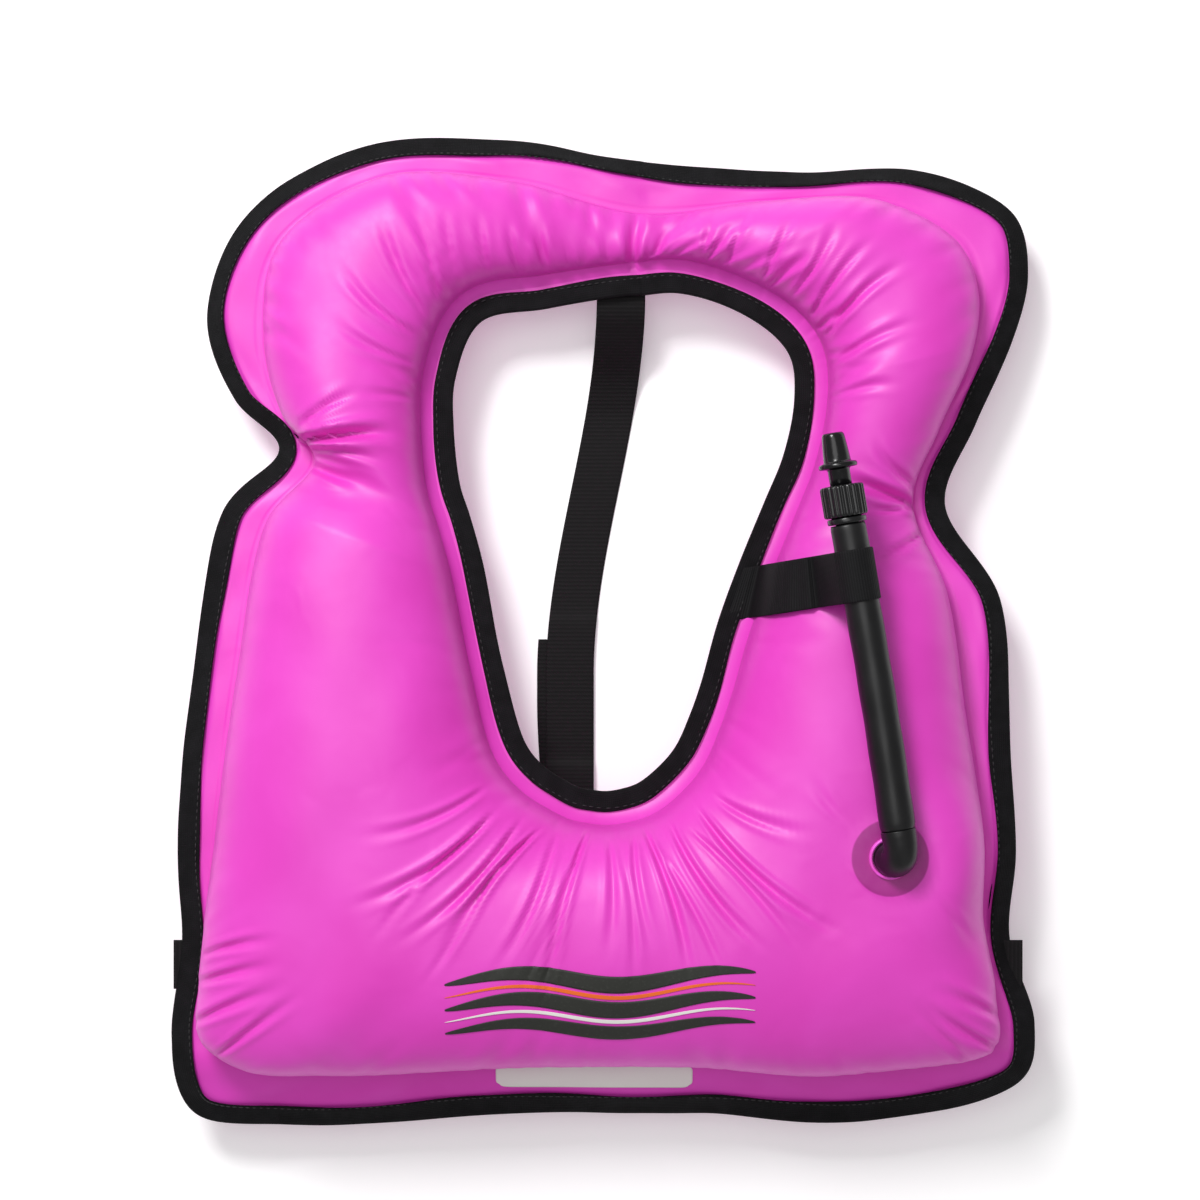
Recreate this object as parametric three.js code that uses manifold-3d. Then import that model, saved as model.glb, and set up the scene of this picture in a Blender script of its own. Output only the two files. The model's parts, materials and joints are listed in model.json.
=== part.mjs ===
// Inflatable horse-collar snorkelling vest, blown up and lying on its back.
// Millimetres. +Z is up through the chest, +Y is towards the head end, +X is the inflator side.
import * as THREE from 'three';
import { mergeVertices } from 'three/addons/utils/BufferGeometryUtils.js';
import Module from 'manifold-3d';

// ---- driving dimensions ----
const vestWidth = 441;
const vestLength = 511;
const drawnWidth = 441; // the outline below is drawn at this size
const drawnLength = 511;
const clearance = 0.3; // between any two pieces that touch

const skin = 0.8; // coated nylon of one panel
const seamTop = 32; // height of the weld plane at the collar
const seamChest = 46; // and at the chest
const hemDroop = 12; // how far the bottom hem hangs below the weld plane
const chestRise = 50; // how far the front panel stands above the weld plane at the chest
const collarRise = 34; // and at the collar
const fullness = 0.46; // half thickness of the chamber over its width
const chestUnderside = 11; // the chest lies on its belt and buckle, this far off the ground
const neckHem = 17; // neck hole's edge to the neck weld

const neckTape = 10.5; // visible width of the folded tape on the neck hole
const edgeTape = 12.5; // and on the outer edge
const tapeWall = 0.9;

const webbingWidth = 25.4;
const webbingThick = 1.3;
const layerStep = 1.75; // centre to centre of two webbings lying on each other

const hoseOuter = 9;
const hoseInner = 6.5;
const hoseRun = 154; // elbow to ferrule
const hoseLean = 9.4; // degrees towards the neck
const elbowRadius = 8;
const elbowBore = 4.2;
const portPlace = [145.5, -129.5];
const portDiscRadius = 19.4;
const portDiscThick = 2;
const portCollarRadius = 10.6;
const portCollarHeight = 2.5;
const portBore = 9.1; // the elbow is glued into it

const stemRadius = 5.5;
const stemTravel = 4.2; // how far the mouthpiece is pressed to open the valve
const ringRadius = 11;
const ringLength = 15.8;
const bandWidth = 26; // elastic hose retainer
const bandThick = 1.2;
const bandLift = 2.2; // slack between the retainer and the panel under it

const beltPlace = -189; // the waist belt's centre line
const buckleMiddle = -118;
const buckleHeight = 9.5;
const buckleWall = 3.2;
const buckleFloor = 2.6;
const latchLow = 3.4; // underside of the latch plate, over two layers of webbing
const latchHigh = 6.6;
const beltToSlider = 59; // belt's centre line to the slider's middle
const sliderLength = 22;
const sliderBar = 1.2;

const roundSides = 24;

// ---- the outline at stations round the neck hole: neck edge x y, outer edge x y, flange ----
// The flange is the flat fabric between the outer edge and the outer weld.
const stations = [
  [21, 159, 21, 229, 30], // top of the collar
  [-28, 152, -52, 240, 25],
  [-62, 145, -123, 237, 22],
  [-75, 115, -185, 200, 25],
  [-76, 90, -205, 150, 35],
  [-73, 60, -190, 105, 29],
  [-68, 44, -167, 79, 22], // left shoulder notch
  [-61, 19, -196, 46, 26],
  [-50, -34, -211, -41, 25],
  [-39, -74, -219, -130, 23],
  [-29, -86, -216, -177, 16],
  [-18, -93, -222, -226, 30],
  [-10, -97, -212, -267, 50], // left bottom corner
  [-5, -98, -165, -274, 48],
  [3, -99, -41, -268, 38],
  [11, -98, 52, -268, 38],
  [20, -95, 140, -272, 42],
  [31, -86, 218, -250, 42], // right bottom corner
  [39, -76, 225, -220, 35],
  [46, -60, 212, -174, 20],
  [52, -43, 215, -130, 22],
  [61, -12, 212, -64, 27],
  [73, 20, 208, 0, 31],
  [86, 52, 179, 50, 19], // right shoulder notch
  [95, 75, 196, 92, 22],
  [101, 104, 215, 135, 24],
  [100, 125, 223, 170, 30],
  [92, 137, 216, 202, 36],
  [72, 150, 165, 224, 28],
  [41, 160, 99, 223, 23],
];
const pointsPerStation = 2; // the outlines are closed curves through the stations
const around = pointsPerStation * stations.length;
const stretchX = vestWidth / drawnWidth;
const stretchY = vestLength / drawnLength;

const wasm = await Module();
wasm.setup();

// ---- small shared helpers ----
function smooth(value) {
  const t = Math.min(1, Math.max(0, value));
  return t * t * (3 - 2 * t);
}

function mix(a, b, t) {
  return a + (b - a) * t;
}

function toSolid(geometry) {
  const bare = geometry.clone();
  bare.deleteAttribute('normal');
  bare.deleteAttribute('uv');
  const merged = mergeVertices(bare, 1e-4);
  const corners = [];
  for (let k = 0; k < merged.index.count; k += 3) {
    const [a, b, c] = merged.index.array.subarray(k, k + 3);
    if (a !== b && b !== c && c !== a) corners.push(a, b, c);
  }
  return new wasm.Manifold(new wasm.Mesh({
    numProp: 3,
    vertProperties: new Float32Array(merged.attributes.position.array),
    triVerts: new Uint32Array(corners),
  }));
}

function toGeometry(solid) {
  const mesh = solid.getMesh();
  const geometry = new THREE.BufferGeometry();
  geometry.setAttribute('position', new THREE.BufferAttribute(mesh.vertProperties, 3));
  geometry.setIndex(new THREE.BufferAttribute(mesh.triVerts, 1));
  return geometry;
}

function block(lowX, highX, lowY, highY, lowZ, highZ) {
  const box = new THREE.BoxGeometry(highX - lowX, highY - lowY, highZ - lowZ);
  box.translate((lowX + highX) / 2, (lowY + highY) / 2, (lowZ + highZ) / 2);
  return toSolid(box);
}

// a turned solid round Z from [radius, height] points: closed on itself, or on the axis at both ends
function turned(profile) {
  const points = profile.map(([r, z]) => new THREE.Vector2(r, z));
  if (points[0].x > 0) points.push(points[0].clone());
  const lathe = new THREE.LatheGeometry(points, roundSides);
  lathe.rotateX(Math.PI / 2);
  return toSolid(lathe);
}

function tube(outer, inner, low, high) {
  return turned([[inner, low], [outer, low], [outer, high], [inner, high]]);
}

function rod(radius, low, high) {
  return turned([[0, low], [radius, low], [radius, high], [0, high]]);
}

// unit direction at right angles to a closed outline of points, at point i
function acrossOutline(points, i, outwards) {
  const before = points[(i + points.length - 1) % points.length];
  const after = points[(i + 1) % points.length];
  const here = points[i];
  const first = here.clone().sub(before).normalize();
  const second = after.clone().sub(here).normalize();
  const along = first.add(second).normalize();
  return new THREE.Vector2(along.y, -along.x).multiplyScalar(outwards);
}

// a slab between two grids of points; the grid closes on itself round the stations if asked
function slab(top, bottom, closed) {
  const count = top.length;
  const rows = top[0].length;
  const positions = [];
  for (const grid of [top, bottom]) {
    for (const line of grid) line.forEach((p) => positions.push(p.x, p.y, p.z));
  }
  const at = (layer, i, j) => (layer * count + (i % count)) * rows + j;
  const faces = [];
  const quad = (a, b, c, d) => faces.push(a, b, c, a, c, d);
  const spans = closed ? count : count - 1;
  for (let i = 0; i < spans; i += 1) {
    for (let j = 0; j < rows - 1; j += 1) {
      quad(at(0, i, j), at(0, i + 1, j), at(0, i + 1, j + 1), at(0, i, j + 1));
      quad(at(1, i, j), at(1, i, j + 1), at(1, i + 1, j + 1), at(1, i + 1, j));
    }
    quad(at(0, i, 0), at(1, i, 0), at(1, i + 1, 0), at(0, i + 1, 0));
    quad(at(0, i + 1, rows - 1), at(1, i + 1, rows - 1), at(1, i, rows - 1), at(0, i, rows - 1));
  }
  if (!closed) {
    for (let j = 0; j < rows - 1; j += 1) {
      quad(at(0, 0, j), at(0, 0, j + 1), at(1, 0, j + 1), at(1, 0, j));
      quad(at(0, spans, j + 1), at(0, spans, j), at(1, spans, j), at(1, spans, j + 1));
    }
  }
  return outwardFacing(positions, faces);
}

// turns every face round if the solid they bound is inside out
function outwardFacing(positions, faces) {
  let volume = 0;
  const corner = (k) => new THREE.Vector3().fromArray(positions, faces[k] * 3);
  for (let k = 0; k < faces.length; k += 3) {
    volume += corner(k).dot(corner(k + 1).cross(corner(k + 2)));
  }
  if (volume < 0) faces.reverse();
  const geometry = new THREE.BufferGeometry();
  geometry.setAttribute('position', new THREE.Float32BufferAttribute(positions, 3));
  geometry.setIndex(faces);
  return geometry;
}

const vest = new THREE.Group();

function add(name, geometry, color, roughness, metalness = 0, parent = vest) {
  const material = new THREE.MeshStandardMaterial({ color, roughness, metalness });
  const mesh = new THREE.Mesh(geometry, material);
  mesh.name = name;
  parent.add(mesh);
  return mesh;
}

// ---- the chamber: two welded panels ----
function closedOutline(placeAt) {
  const curve = new THREE.CatmullRomCurve3(stations.map(placeAt), true);
  return Array.from({ length: around }, (_, k) => {
    const p = curve.getPoint(k / around);
    return new THREE.Vector2(p.x * stretchX, p.y * stretchY);
  });
}

const neckPoint = (s) => new THREE.Vector3(s[0], s[1], 0);
const edgePoint = (s) => new THREE.Vector3(s[2], s[3], 0);
const towardsNeck = (s) => neckPoint(s).sub(edgePoint(s)).normalize();
const neckEdge = closedOutline(neckPoint);
const outerEdge = closedOutline(edgePoint);
const outerWeld = closedOutline((s) => edgePoint(s).addScaledVector(towardsNeck(s), s[4]));
const port = new THREE.Vector2(portPlace[0] * stretchX, portPlace[1] * stretchY);

function seamHeight(y) {
  const slope = mix(seamTop, seamChest, smooth((220 * stretchY - y) / (370 * stretchY)));
  return slope - hemDroop * smooth((-232 * stretchY - y) / (38 * stretchY));
}

function crownRise(y) {
  return mix(collarRise, chestRise, smooth((200 * stretchY - y) / (300 * stretchY)));
}

function lowestUnderside(y) {
  return chestUnderside * smooth((-60 * stretchY - y) / (45 * stretchY));
}

// eases a height that would sink below the lowest one to just above it
function restingHeight(height, lowest) {
  const above = height - lowest;
  return lowest + (above + Math.hypot(above, 2)) / 2;
}

const seamFace = clearance / 2 + skin; // weld plane to the outside of one panel
const portFace = seamChest + seamFace + chestRise - 3;
const chamberSteps = 8;

// outer face of one panel at every station, from the neck hole's edge to the outer edge
function outerFace(side) {
  return neckEdge.map((_, i) => {
    const fromNeck = acrossOutline(neckEdge, i, 1);
    const fromEdge = acrossOutline(outerEdge, i, -1);
    const tuck = tapeWall + clearance;
    const neckAt = (d) => neckEdge[i].clone().addScaledVector(fromNeck, d);
    const edgeAt = (d) => outerEdge[i].clone().addScaledVector(fromEdge, d);
    const neckWeld = neckAt(neckHem);
    const width = neckWeld.distanceTo(outerWeld[i]);
    const flat = (p) => new THREE.Vector3(p.x, p.y, seamHeight(p.y) + side * seamFace);
    const rows = [flat(neckAt(tuck)), flat(neckAt(neckTape))];
    for (let k = 0; k <= chamberSteps; k += 1) {
      const t = (1 - Math.cos(Math.PI * k / chamberSteps)) / 2;
      const p = neckWeld.clone().lerp(outerWeld[i], t);
      const rise = Math.min(fullness * width, crownRise(p.y)) * Math.sqrt(4 * t * (1 - t));
      const at = flat(p);
      at.z += side * rise;
      if (side < 0) {
        at.z = restingHeight(at.z, lowestUnderside(p.y));
      } else if (k > 0 && k < chamberSteps) {
        at.z = mix(portFace, at.z, smooth((p.distanceTo(port) - 40) / 30));
      }
      rows.push(at);
    }
    const hemStart = edgeAt(edgeTape);
    rows.push(flat(outerWeld[i].clone().lerp(hemStart, 0.12)));
    rows.push(flat(outerWeld[i].clone().lerp(hemStart, 0.88)));
    rows.push(flat(hemStart), flat(edgeAt(tuck)));
    return rows;
  });
}

const neckWeldRow = 2;
const outerWeldRow = neckWeldRow + chamberSteps;

// inner face: one skin inside the outer face, along the normal inside the chamber
function innerFace(outer, side) {
  return outer.map((rows) => {
    const along = new THREE.Vector3().subVectors(rows[outerWeldRow], rows[neckWeldRow]);
    along.z = 0;
    along.normalize();
    return rows.map((p, j) => {
      const inner = p.clone();
      if (j <= neckWeldRow || j >= outerWeldRow) {
        inner.z -= side * skin;
        return inner;
      }
      const slope = new THREE.Vector3().subVectors(rows[j + 1], rows[j - 1]);
      const run = slope.dot(along);
      const length = Math.hypot(run, slope.z);
      inner.addScaledVector(along, side * slope.z / length * skin);
      inner.z -= side * run / length * skin;
      return inner;
    });
  });
}

const frontOuter = outerFace(1);
const backOuter = outerFace(-1);
const frontShell = toSolid(slab(frontOuter, innerFace(frontOuter, 1), true));
const backShell = toSolid(slab(backOuter, innerFace(backOuter, -1), true));
const portHole = rod(portCollarRadius + clearance, -20, 20);
const pink = 0xf66ade;
const frontPanel = frontShell.subtract(portHole.translate([port.x, port.y, portFace]));
add('front_panel', toGeometry(frontPanel), pink, 0.45);
add('back_panel', toGeometry(backShell), pink, 0.45);

// height of the front panel's outside over a point in plan
function frontHeight(x, y) {
  const point = new THREE.Vector3(x, y, 0);
  const weights = new THREE.Vector3();
  for (let i = 0; i < around; i += 1) {
    const next = (i + 1) % around;
    for (let j = 0; j < frontOuter[i].length - 1; j += 1) {
      const [a, b] = [frontOuter[i][j], frontOuter[next][j]];
      const [c, d] = [frontOuter[next][j + 1], frontOuter[i][j + 1]];
      for (const corners of [[a, b, c], [a, c, d]]) {
        const flat = corners.map((p) => new THREE.Vector3(p.x, p.y, 0));
        if (THREE.Triangle.containsPoint(point, ...flat)) {
          THREE.Triangle.getBarycoord(point, ...flat, weights);
          return weights.x * corners[0].z + weights.y * corners[1].z + weights.z * corners[2].z;
        }
      }
    }
  }
  return seamHeight(y) + seamFace;
}

// ---- folded tape over a raw edge, as a U open towards the chamber ----
function foldedTape(edge, inwards, width) {
  const slot = seamFace + clearance;
  const outside = slot + tapeWall;
  const section = [
    [0, outside], [width, outside], [width, slot], [tapeWall, slot],
    [tapeWall, -slot], [width, -slot], [width, -outside], [0, -outside],
  ];
  const rings = edge.map((p, i) => {
    const across = acrossOutline(edge, i, inwards);
    return section.map(([reach, rise]) => {
      const at = p.clone().addScaledVector(across, reach);
      return [at.x, at.y, seamHeight(at.y) + rise];
    });
  });
  const sides = section.length;
  const faces = [];
  for (let i = 0; i < rings.length; i += 1) {
    const next = (i + 1) % rings.length;
    for (let k = 0; k < sides; k += 1) {
      const turn = (k + 1) % sides;
      const [a, b] = [i * sides + k, i * sides + turn];
      const [c, d] = [next * sides + turn, next * sides + k];
      const splitAsPanel = (section[k][0] < section[turn][0]) === (inwards > 0);
      if (splitAsPanel) faces.push(a, b, c, a, c, d);
      else faces.push(a, b, d, b, c, d);
    }
  }
  return outwardFacing(rings.flat(2), faces);
}

add('outer_binding', foldedTape(outerEdge, -1, edgeTape), 0x262628, 0.85);
add('neck_binding', foldedTape(neckEdge, 1, neckTape), 0x262628, 0.85);

// ---- printed films on the front panel, over whole cells of its grid ----
const printSpan = [27, 31]; // first and last point of the outlines
const nameSpan = [28, 30];
function printedFilm([first, last], firstRow, lastRow) {
  const lift = (amount) => frontOuter.slice(first, last + 1).map((rows) => (
    rows.slice(firstRow, lastRow + 1).map((p) => new THREE.Vector3(p.x, p.y, p.z + amount))
  ));
  return slab(lift(2 * clearance), lift(clearance), false);
}

add('chest_print', printedFilm(printSpan, neckWeldRow + 5, neckWeldRow + 7), 0x242520, 0.7);
add('name_box', printedFilm(nameSpan, outerWeldRow + 1, outerWeldRow + 2), 0xf4f2f0, 0.7);

// ---- port: disc welded inside the front panel, with a collar through it ----
const discTop = portFace - skin - clearance;
const flange = tube(portDiscRadius, portBore, discTop - portDiscThick, discTop)
  .add(tube(portCollarRadius, portBore, discTop - 1, portFace + portCollarHeight));
add('valve_flange', toGeometry(flange.translate([port.x, port.y, 0])), 0xa92c92, 0.4);

// ---- moulded elbow and hose ----
const lean = THREE.MathUtils.degToRad(hoseLean);
const hoseDirection = new THREE.Vector3(-Math.sin(lean), Math.cos(lean), 0);
const hoseSide = new THREE.Vector3(Math.cos(lean), Math.sin(lean), 0);
const hoseHeight = portFace + 3 + 2 * clearance + bandThick + clearance + hoseOuter;
const elbowRise = hoseHeight - portFace;
const elbowSteps = [
  [0, 0, -3], [0, 0, 0], [0.3, -0.1, 0.2 * elbowRise], [2.2, -0.5, 0.5 * elbowRise],
  [3.9, 2.2, 0.82 * elbowRise], [4, 7, 0.97 * elbowRise], [3.2, 12, elbowRise],
];
const elbowRoute = elbowSteps.map(([x, y, z]) => new THREE.Vector3(port.x + x, port.y + y, portFace + z));
const elbowEnd = elbowRoute[elbowRoute.length - 1];
elbowRoute.push(elbowEnd.clone().addScaledVector(hoseDirection, 3));

function pipeSection(outer, inner, sides) {
  const outline = (radius) => {
    const points = [];
    for (let k = 0; k < sides; k += 1) {
      const angle = 2 * Math.PI * k / sides;
      points.push(new THREE.Vector2(radius * Math.cos(angle), radius * Math.sin(angle)));
    }
    return points;
  };
  const shape = new THREE.Shape(outline(outer));
  shape.holes.push(new THREE.Path(outline(inner).reverse()));
  return shape;
}

// places a solid made round Z so that its Z runs along the hose
function alongHose(solid, start) {
  const geometry = toGeometry(solid);
  geometry.applyMatrix4(new THREE.Matrix4().makeBasis(
    hoseSide.clone().negate(), new THREE.Vector3(0, 0, 1), hoseDirection,
  ));
  geometry.translate(start.x, start.y, start.z);
  return geometry;
}

const elbowPipe = new THREE.ExtrudeGeometry(pipeSection(elbowRadius, elbowBore, 16), {
  steps: 10, bevelEnabled: false, extrudePath: new THREE.CatmullRomCurve3(elbowRoute),
});
const elbowMouth = elbowRoute[elbowRoute.length - 1];
const spigotLength = 5;
const spigot = alongHose(tube(hoseInner - 1.9, elbowBore - 0.4, -1, spigotLength), elbowMouth);
const elbow = toSolid(elbowPipe).add(toSolid(spigot));
add('hose_elbow', toGeometry(elbow), 0x1e1d22, 0.5);

const hoseStart = elbowMouth.clone().addScaledVector(hoseDirection, clearance);
add('inflation_hose', alongHose(tube(hoseOuter, hoseInner, 0, hoseRun), hoseStart), 0x1e1d22, 0.55);

// ---- oral valve, along its own axis from the foot of the lock ring ----
const shoulder = 3.4;
const valvePlace = hoseStart.clone().addScaledVector(hoseDirection, hoseRun + clearance + shoulder);
const valve = new THREE.Group();
valve.position.copy(valvePlace);
valve.quaternion.setFromRotationMatrix(new THREE.Matrix4().makeBasis(
  hoseSide.clone().negate(), new THREE.Vector3(0, 0, 1), hoseDirection,
));
vest.add(valve);

const black = 0x30303a;
const neckRadius = 7.7; // threaded neck under the lock ring
const neckTop = 11;
const barbEnd = -30;
const barbRadius = hoseInner - 0.4;
const springBore = 4.8;
const stemFoot = 2.2;
const stemBore = stemRadius + clearance;
const stemBoreFoot = stemFoot - stemTravel - 0.4;
const seatTop = -11.5;
const seatUnder = -13;
const seatBore = 3.2;
const valveBody = turned([
  [springBore, barbEnd], [barbRadius, barbEnd], [barbRadius, -shoulder], [ringRadius - 1.5, -shoulder],
  [ringRadius - 1.5, -clearance], [neckRadius, -clearance], [neckRadius, neckTop], [stemBore, neckTop],
  [stemBore, stemBoreFoot], [springBore, stemBoreFoot], [springBore, seatTop], [seatBore, seatTop],
  [seatBore, seatUnder], [springBore, seatUnder],
]);
add('valve_body', toGeometry(valveBody), black, 0.4, 0, valve);

// fluted lock ring with a lip over the neck and a groove for its friction ring
const fluteCount = 20;
const fluteDepth = 0.6;
const ringBore = neckRadius + 0.4;
const grooveLow = 2;
const grooveHigh = 4;
const ringLip = 2;
const ringOutline = [];
for (let k = 0; k < 2 * fluteCount; k += 1) {
  const angle = Math.PI * k / fluteCount;
  const radius = ringRadius - (k % 2) * fluteDepth;
  ringOutline.push(new THREE.Vector2(radius * Math.cos(angle), radius * Math.sin(angle)));
}
const flutedBar = new THREE.ExtrudeGeometry(new THREE.Shape(ringOutline), {
  depth: ringLength, steps: 1, bevelEnabled: false,
});
const lockRing = toSolid(flutedBar)
  .subtract(rod(ringBore, -1, ringLength - ringLip))
  .subtract(rod(stemBore, -1, ringLength + 1))
  .subtract(rod(ringBore + 1.6, grooveLow, grooveHigh));
add('lock_ring', toGeometry(lockRing), black, 0.35, 0, valve);

function rubberRing(radius, thick, height) {
  const profile = [];
  for (let k = 0; k < 8; k += 1) {
    const angle = Math.PI * k / 4;
    profile.push([radius + thick * Math.cos(angle), height + thick * Math.sin(angle)]);
  }
  return toGeometry(turned(profile));
}

const frictionRing = rubberRing(neckRadius + 1.05, 0.6, (grooveLow + grooveHigh) / 2);
add('lock_ring_oring', frictionRing, 0x151515, 0.8, 0, valve);

// mouthpiece: tapered tip, flange and hollow stem in one moulding
const stemExposed = 8.2 + clearance;
const flangeLow = ringLength + stemExposed;
const flangeThick = 2.8;
const flangeRadius = 9.7;
const tipLength = 15;
const tipFoot = 6.8;
const tipEnd = 5.3;
const airway = 2.6;
const sealGroove = 6.1;
const mouthpiece = turned([
  [airway, stemFoot], [stemRadius, stemFoot], [stemRadius, sealGroove - 0.9], [4.5, sealGroove - 0.9],
  [4.5, sealGroove + 0.9], [stemRadius, sealGroove + 0.9], [stemRadius, flangeLow],
  [flangeRadius, flangeLow], [flangeRadius, flangeLow + flangeThick], [tipFoot, flangeLow + flangeThick],
  [tipEnd, flangeLow + flangeThick + tipLength], [airway, flangeLow + flangeThick + tipLength],
]);
add('mouthpiece', toGeometry(mouthpiece), 0x302f35, 0.35, 0, valve);
add('stem_oring', rubberRing(stemRadius - 0.3, 0.4, sealGroove), 0x151515, 0.8, 0, valve);

// poppet: rod through the seat with a sealing disc under it
const rodRadius = 1.5;
const poppet = turned([
  [0, seatUnder - 2.5], [springBore - 0.5, seatUnder - 2.5], [springBore - 0.5, seatUnder - clearance],
  [rodRadius, seatUnder - clearance], [rodRadius, 14], [0, 14],
]);
add('valve_poppet', toGeometry(poppet), 0x8a8a90, 0.5, 0, valve);

class SpringCoil extends THREE.Curve {
  getPoint(t, target = new THREE.Vector3()) {
    const angle = 2 * Math.PI * springTurns * t;
    const height = mix(seatTop + springWire + clearance, stemFoot - springWire - clearance, t);
    return target.set(springRadius * Math.cos(angle), springRadius * Math.sin(angle), height);
  }
}
const springTurns = 5;
const springWire = 0.4;
const springRadius = 3.6;
const wireSection = new THREE.Shape();
wireSection.absarc(0, 0, springWire, 0, 2 * Math.PI, false);
const spring = new THREE.ExtrudeGeometry(wireSection, {
  steps: 50, curveSegments: 3, bevelEnabled: false, extrudePath: new SpringCoil(),
});
add('return_spring', spring, 0xb8b8bc, 0.3, 1, valve);

// ---- webbing: a strip of even thickness along a route seen from the side ----
function strip(route, thickness, width, basis, origin) {
  const points = route.map(([u, v]) => new THREE.Vector2(u, v));
  const last = points.length - 1;
  const sideAt = (i, sign) => {
    const before = points[Math.max(i - 1, 0)];
    const after = points[Math.min(i + 1, last)];
    const first = i > 0 ? points[i].clone().sub(before).normalize() : null;
    const second = i < last ? after.clone().sub(points[i]).normalize() : null;
    const along = (first || second).clone().add(second || first).normalize();
    const square = first && second ? along.dot(first) : 1;
    const reach = sign * thickness / 2 / square;
    return new THREE.Vector2(points[i].x - along.y * reach, points[i].y + along.x * reach);
  };
  const outline = points.map((_, i) => sideAt(i, 1));
  for (let i = last; i >= 0; i -= 1) outline.push(sideAt(i, -1));
  const geometry = new THREE.ExtrudeGeometry(new THREE.Shape(outline), {
    depth: width, steps: 1, bevelEnabled: false,
  });
  geometry.translate(0, 0, -width / 2);
  geometry.applyMatrix4(new THREE.Matrix4().makeBasis(...basis));
  geometry.translate(origin.x, origin.y, origin.z);
  return geometry;
}
const axisX = new THREE.Vector3(1, 0, 0);
const axisY = new THREE.Vector3(0, 1, 0);
const axisZ = new THREE.Vector3(0, 0, 1);
const webbingBlack = 0x2a282b;
const ground = webbingThick / 2; // centre of webbing lying on the ground
const beltMiddle = beltPlace * stretchY;

// ---- elastic retainer: sewn under the neck tape, round the hose and back ----
const bandCentre = hoseStart.clone().addScaledVector(hoseDirection, hoseRun - 26);
const bandReach = -42 * stretchX;
const hugRadius = hoseOuter + clearance + bandThick / 2;
const bandAbove = bandThick + clearance;
const bandRoute = [];
const bandFoot = (u) => {
  let highest = 0;
  for (const share of [-0.5, -0.25, 0, 0.25, 0.5]) {
    const shift = share * bandWidth;
    const x = bandCentre.x + hoseSide.x * u + hoseDirection.x * shift;
    const y = bandCentre.y + hoseSide.y * u + hoseDirection.y * shift;
    highest = Math.max(highest, frontHeight(x, y));
  }
  return highest + bandLift + bandThick / 2 - bandCentre.z;
};
const bandLower = [];
for (const u of [-1, -0.8, -0.6, -0.42]) {
  bandLower.push([bandReach * -u, bandFoot(bandReach * -u)]);
}
bandRoute.push(...bandLower);
// the strip leaves the hose along the two tangents from its last point on the panel
const [lastReach, lastFoot] = bandLower[bandLower.length - 1];
const towards = Math.atan2(lastFoot, lastReach);
const spread = Math.acos(hugRadius / Math.hypot(lastReach, lastFoot));
const wrapStart = towards + spread - 0.05;
const wrapEnd = towards - spread + 0.1 + 2 * Math.PI;
const wrapSteps = 12;
for (let k = 0; k <= wrapSteps; k += 1) {
  const angle = mix(wrapStart, wrapEnd, k / wrapSteps);
  bandRoute.push([hugRadius * Math.cos(angle), hugRadius * Math.sin(angle)]);
}
bandRoute.push(...bandLower.slice().reverse().map(([u, v]) => [u, v + bandAbove + 0.4]));
add('retainer_loop', strip(
  bandRoute, bandThick, bandWidth, [hoseSide, axisZ, hoseDirection.clone().negate()], bandCentre,
), 0x1d1c21, 0.8);

// ---- collar strap: from the neck tape down the back, round the belt and back as a tail ----
const neckTop0 = neckEdge[0].y;
const strapUnderTape = seamHeight(neckTop0) - seamFace - clearance - tapeWall - clearance - ground;
const strapMid = -16 * stretchX; // its centre line below the chest
const strapSliding = ground + sliderBar + clearance;
const strapHalf = webbingWidth / 2;
const beltGo = beltMiddle + strapHalf + 0.5;
const beltReturn = beltMiddle - strapHalf - 0.5;
const sliderMiddle = beltMiddle + beltToSlider;
const sliderSpan = 38; // webbing stays lifted this far each side of the slider
const strapRoute = [
  [neckTop0 + 8, strapUnderTape], [neckTop0 - 7, strapUnderTape - 0.5],
  [neckTop0 - 20, strapUnderTape - 7], [neckTop0 - 38, 8],
  [neckTop0 - 55, 2], [neckTop0 - 68, ground], [0, ground],
  [-16, ground + layerStep], [sliderMiddle + sliderSpan + 8, ground + layerStep],
  [sliderMiddle + sliderSpan, strapSliding + layerStep],
  [sliderMiddle - sliderSpan, strapSliding + layerStep],
  [beltGo, ground + 2 * layerStep], [beltReturn - 3, ground + 2 * layerStep],
  [beltReturn - 4.6, ground + 1.6 * layerStep], [beltReturn - 5.2, ground + layerStep],
  [beltReturn - 4.6, ground + 0.4 * layerStep], [beltReturn - 3, ground], [beltGo, ground],
  [sliderMiddle - sliderSpan, strapSliding], [sliderMiddle + sliderSpan, strapSliding],
  [sliderMiddle + sliderSpan + 8, ground], [-21, ground],
];
const collarStrap = strip(
  strapRoute, webbingThick, webbingWidth, [axisY, axisZ, axisX], new THREE.Vector3(),
);
// the strap drifts sideways from the collar's middle to its line under the chest
const strapPlaces = collarStrap.attributes.position;
for (let k = 0; k < strapPlaces.count; k += 1) {
  const drift = smooth((neckTop0 - strapPlaces.getY(k)) / (neckTop0 + 40));
  strapPlaces.setX(k, strapPlaces.getX(k) + mix(11 * stretchX, strapMid, drift));
}
add('collar_strap', collarStrap, webbingBlack, 0.8);

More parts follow.
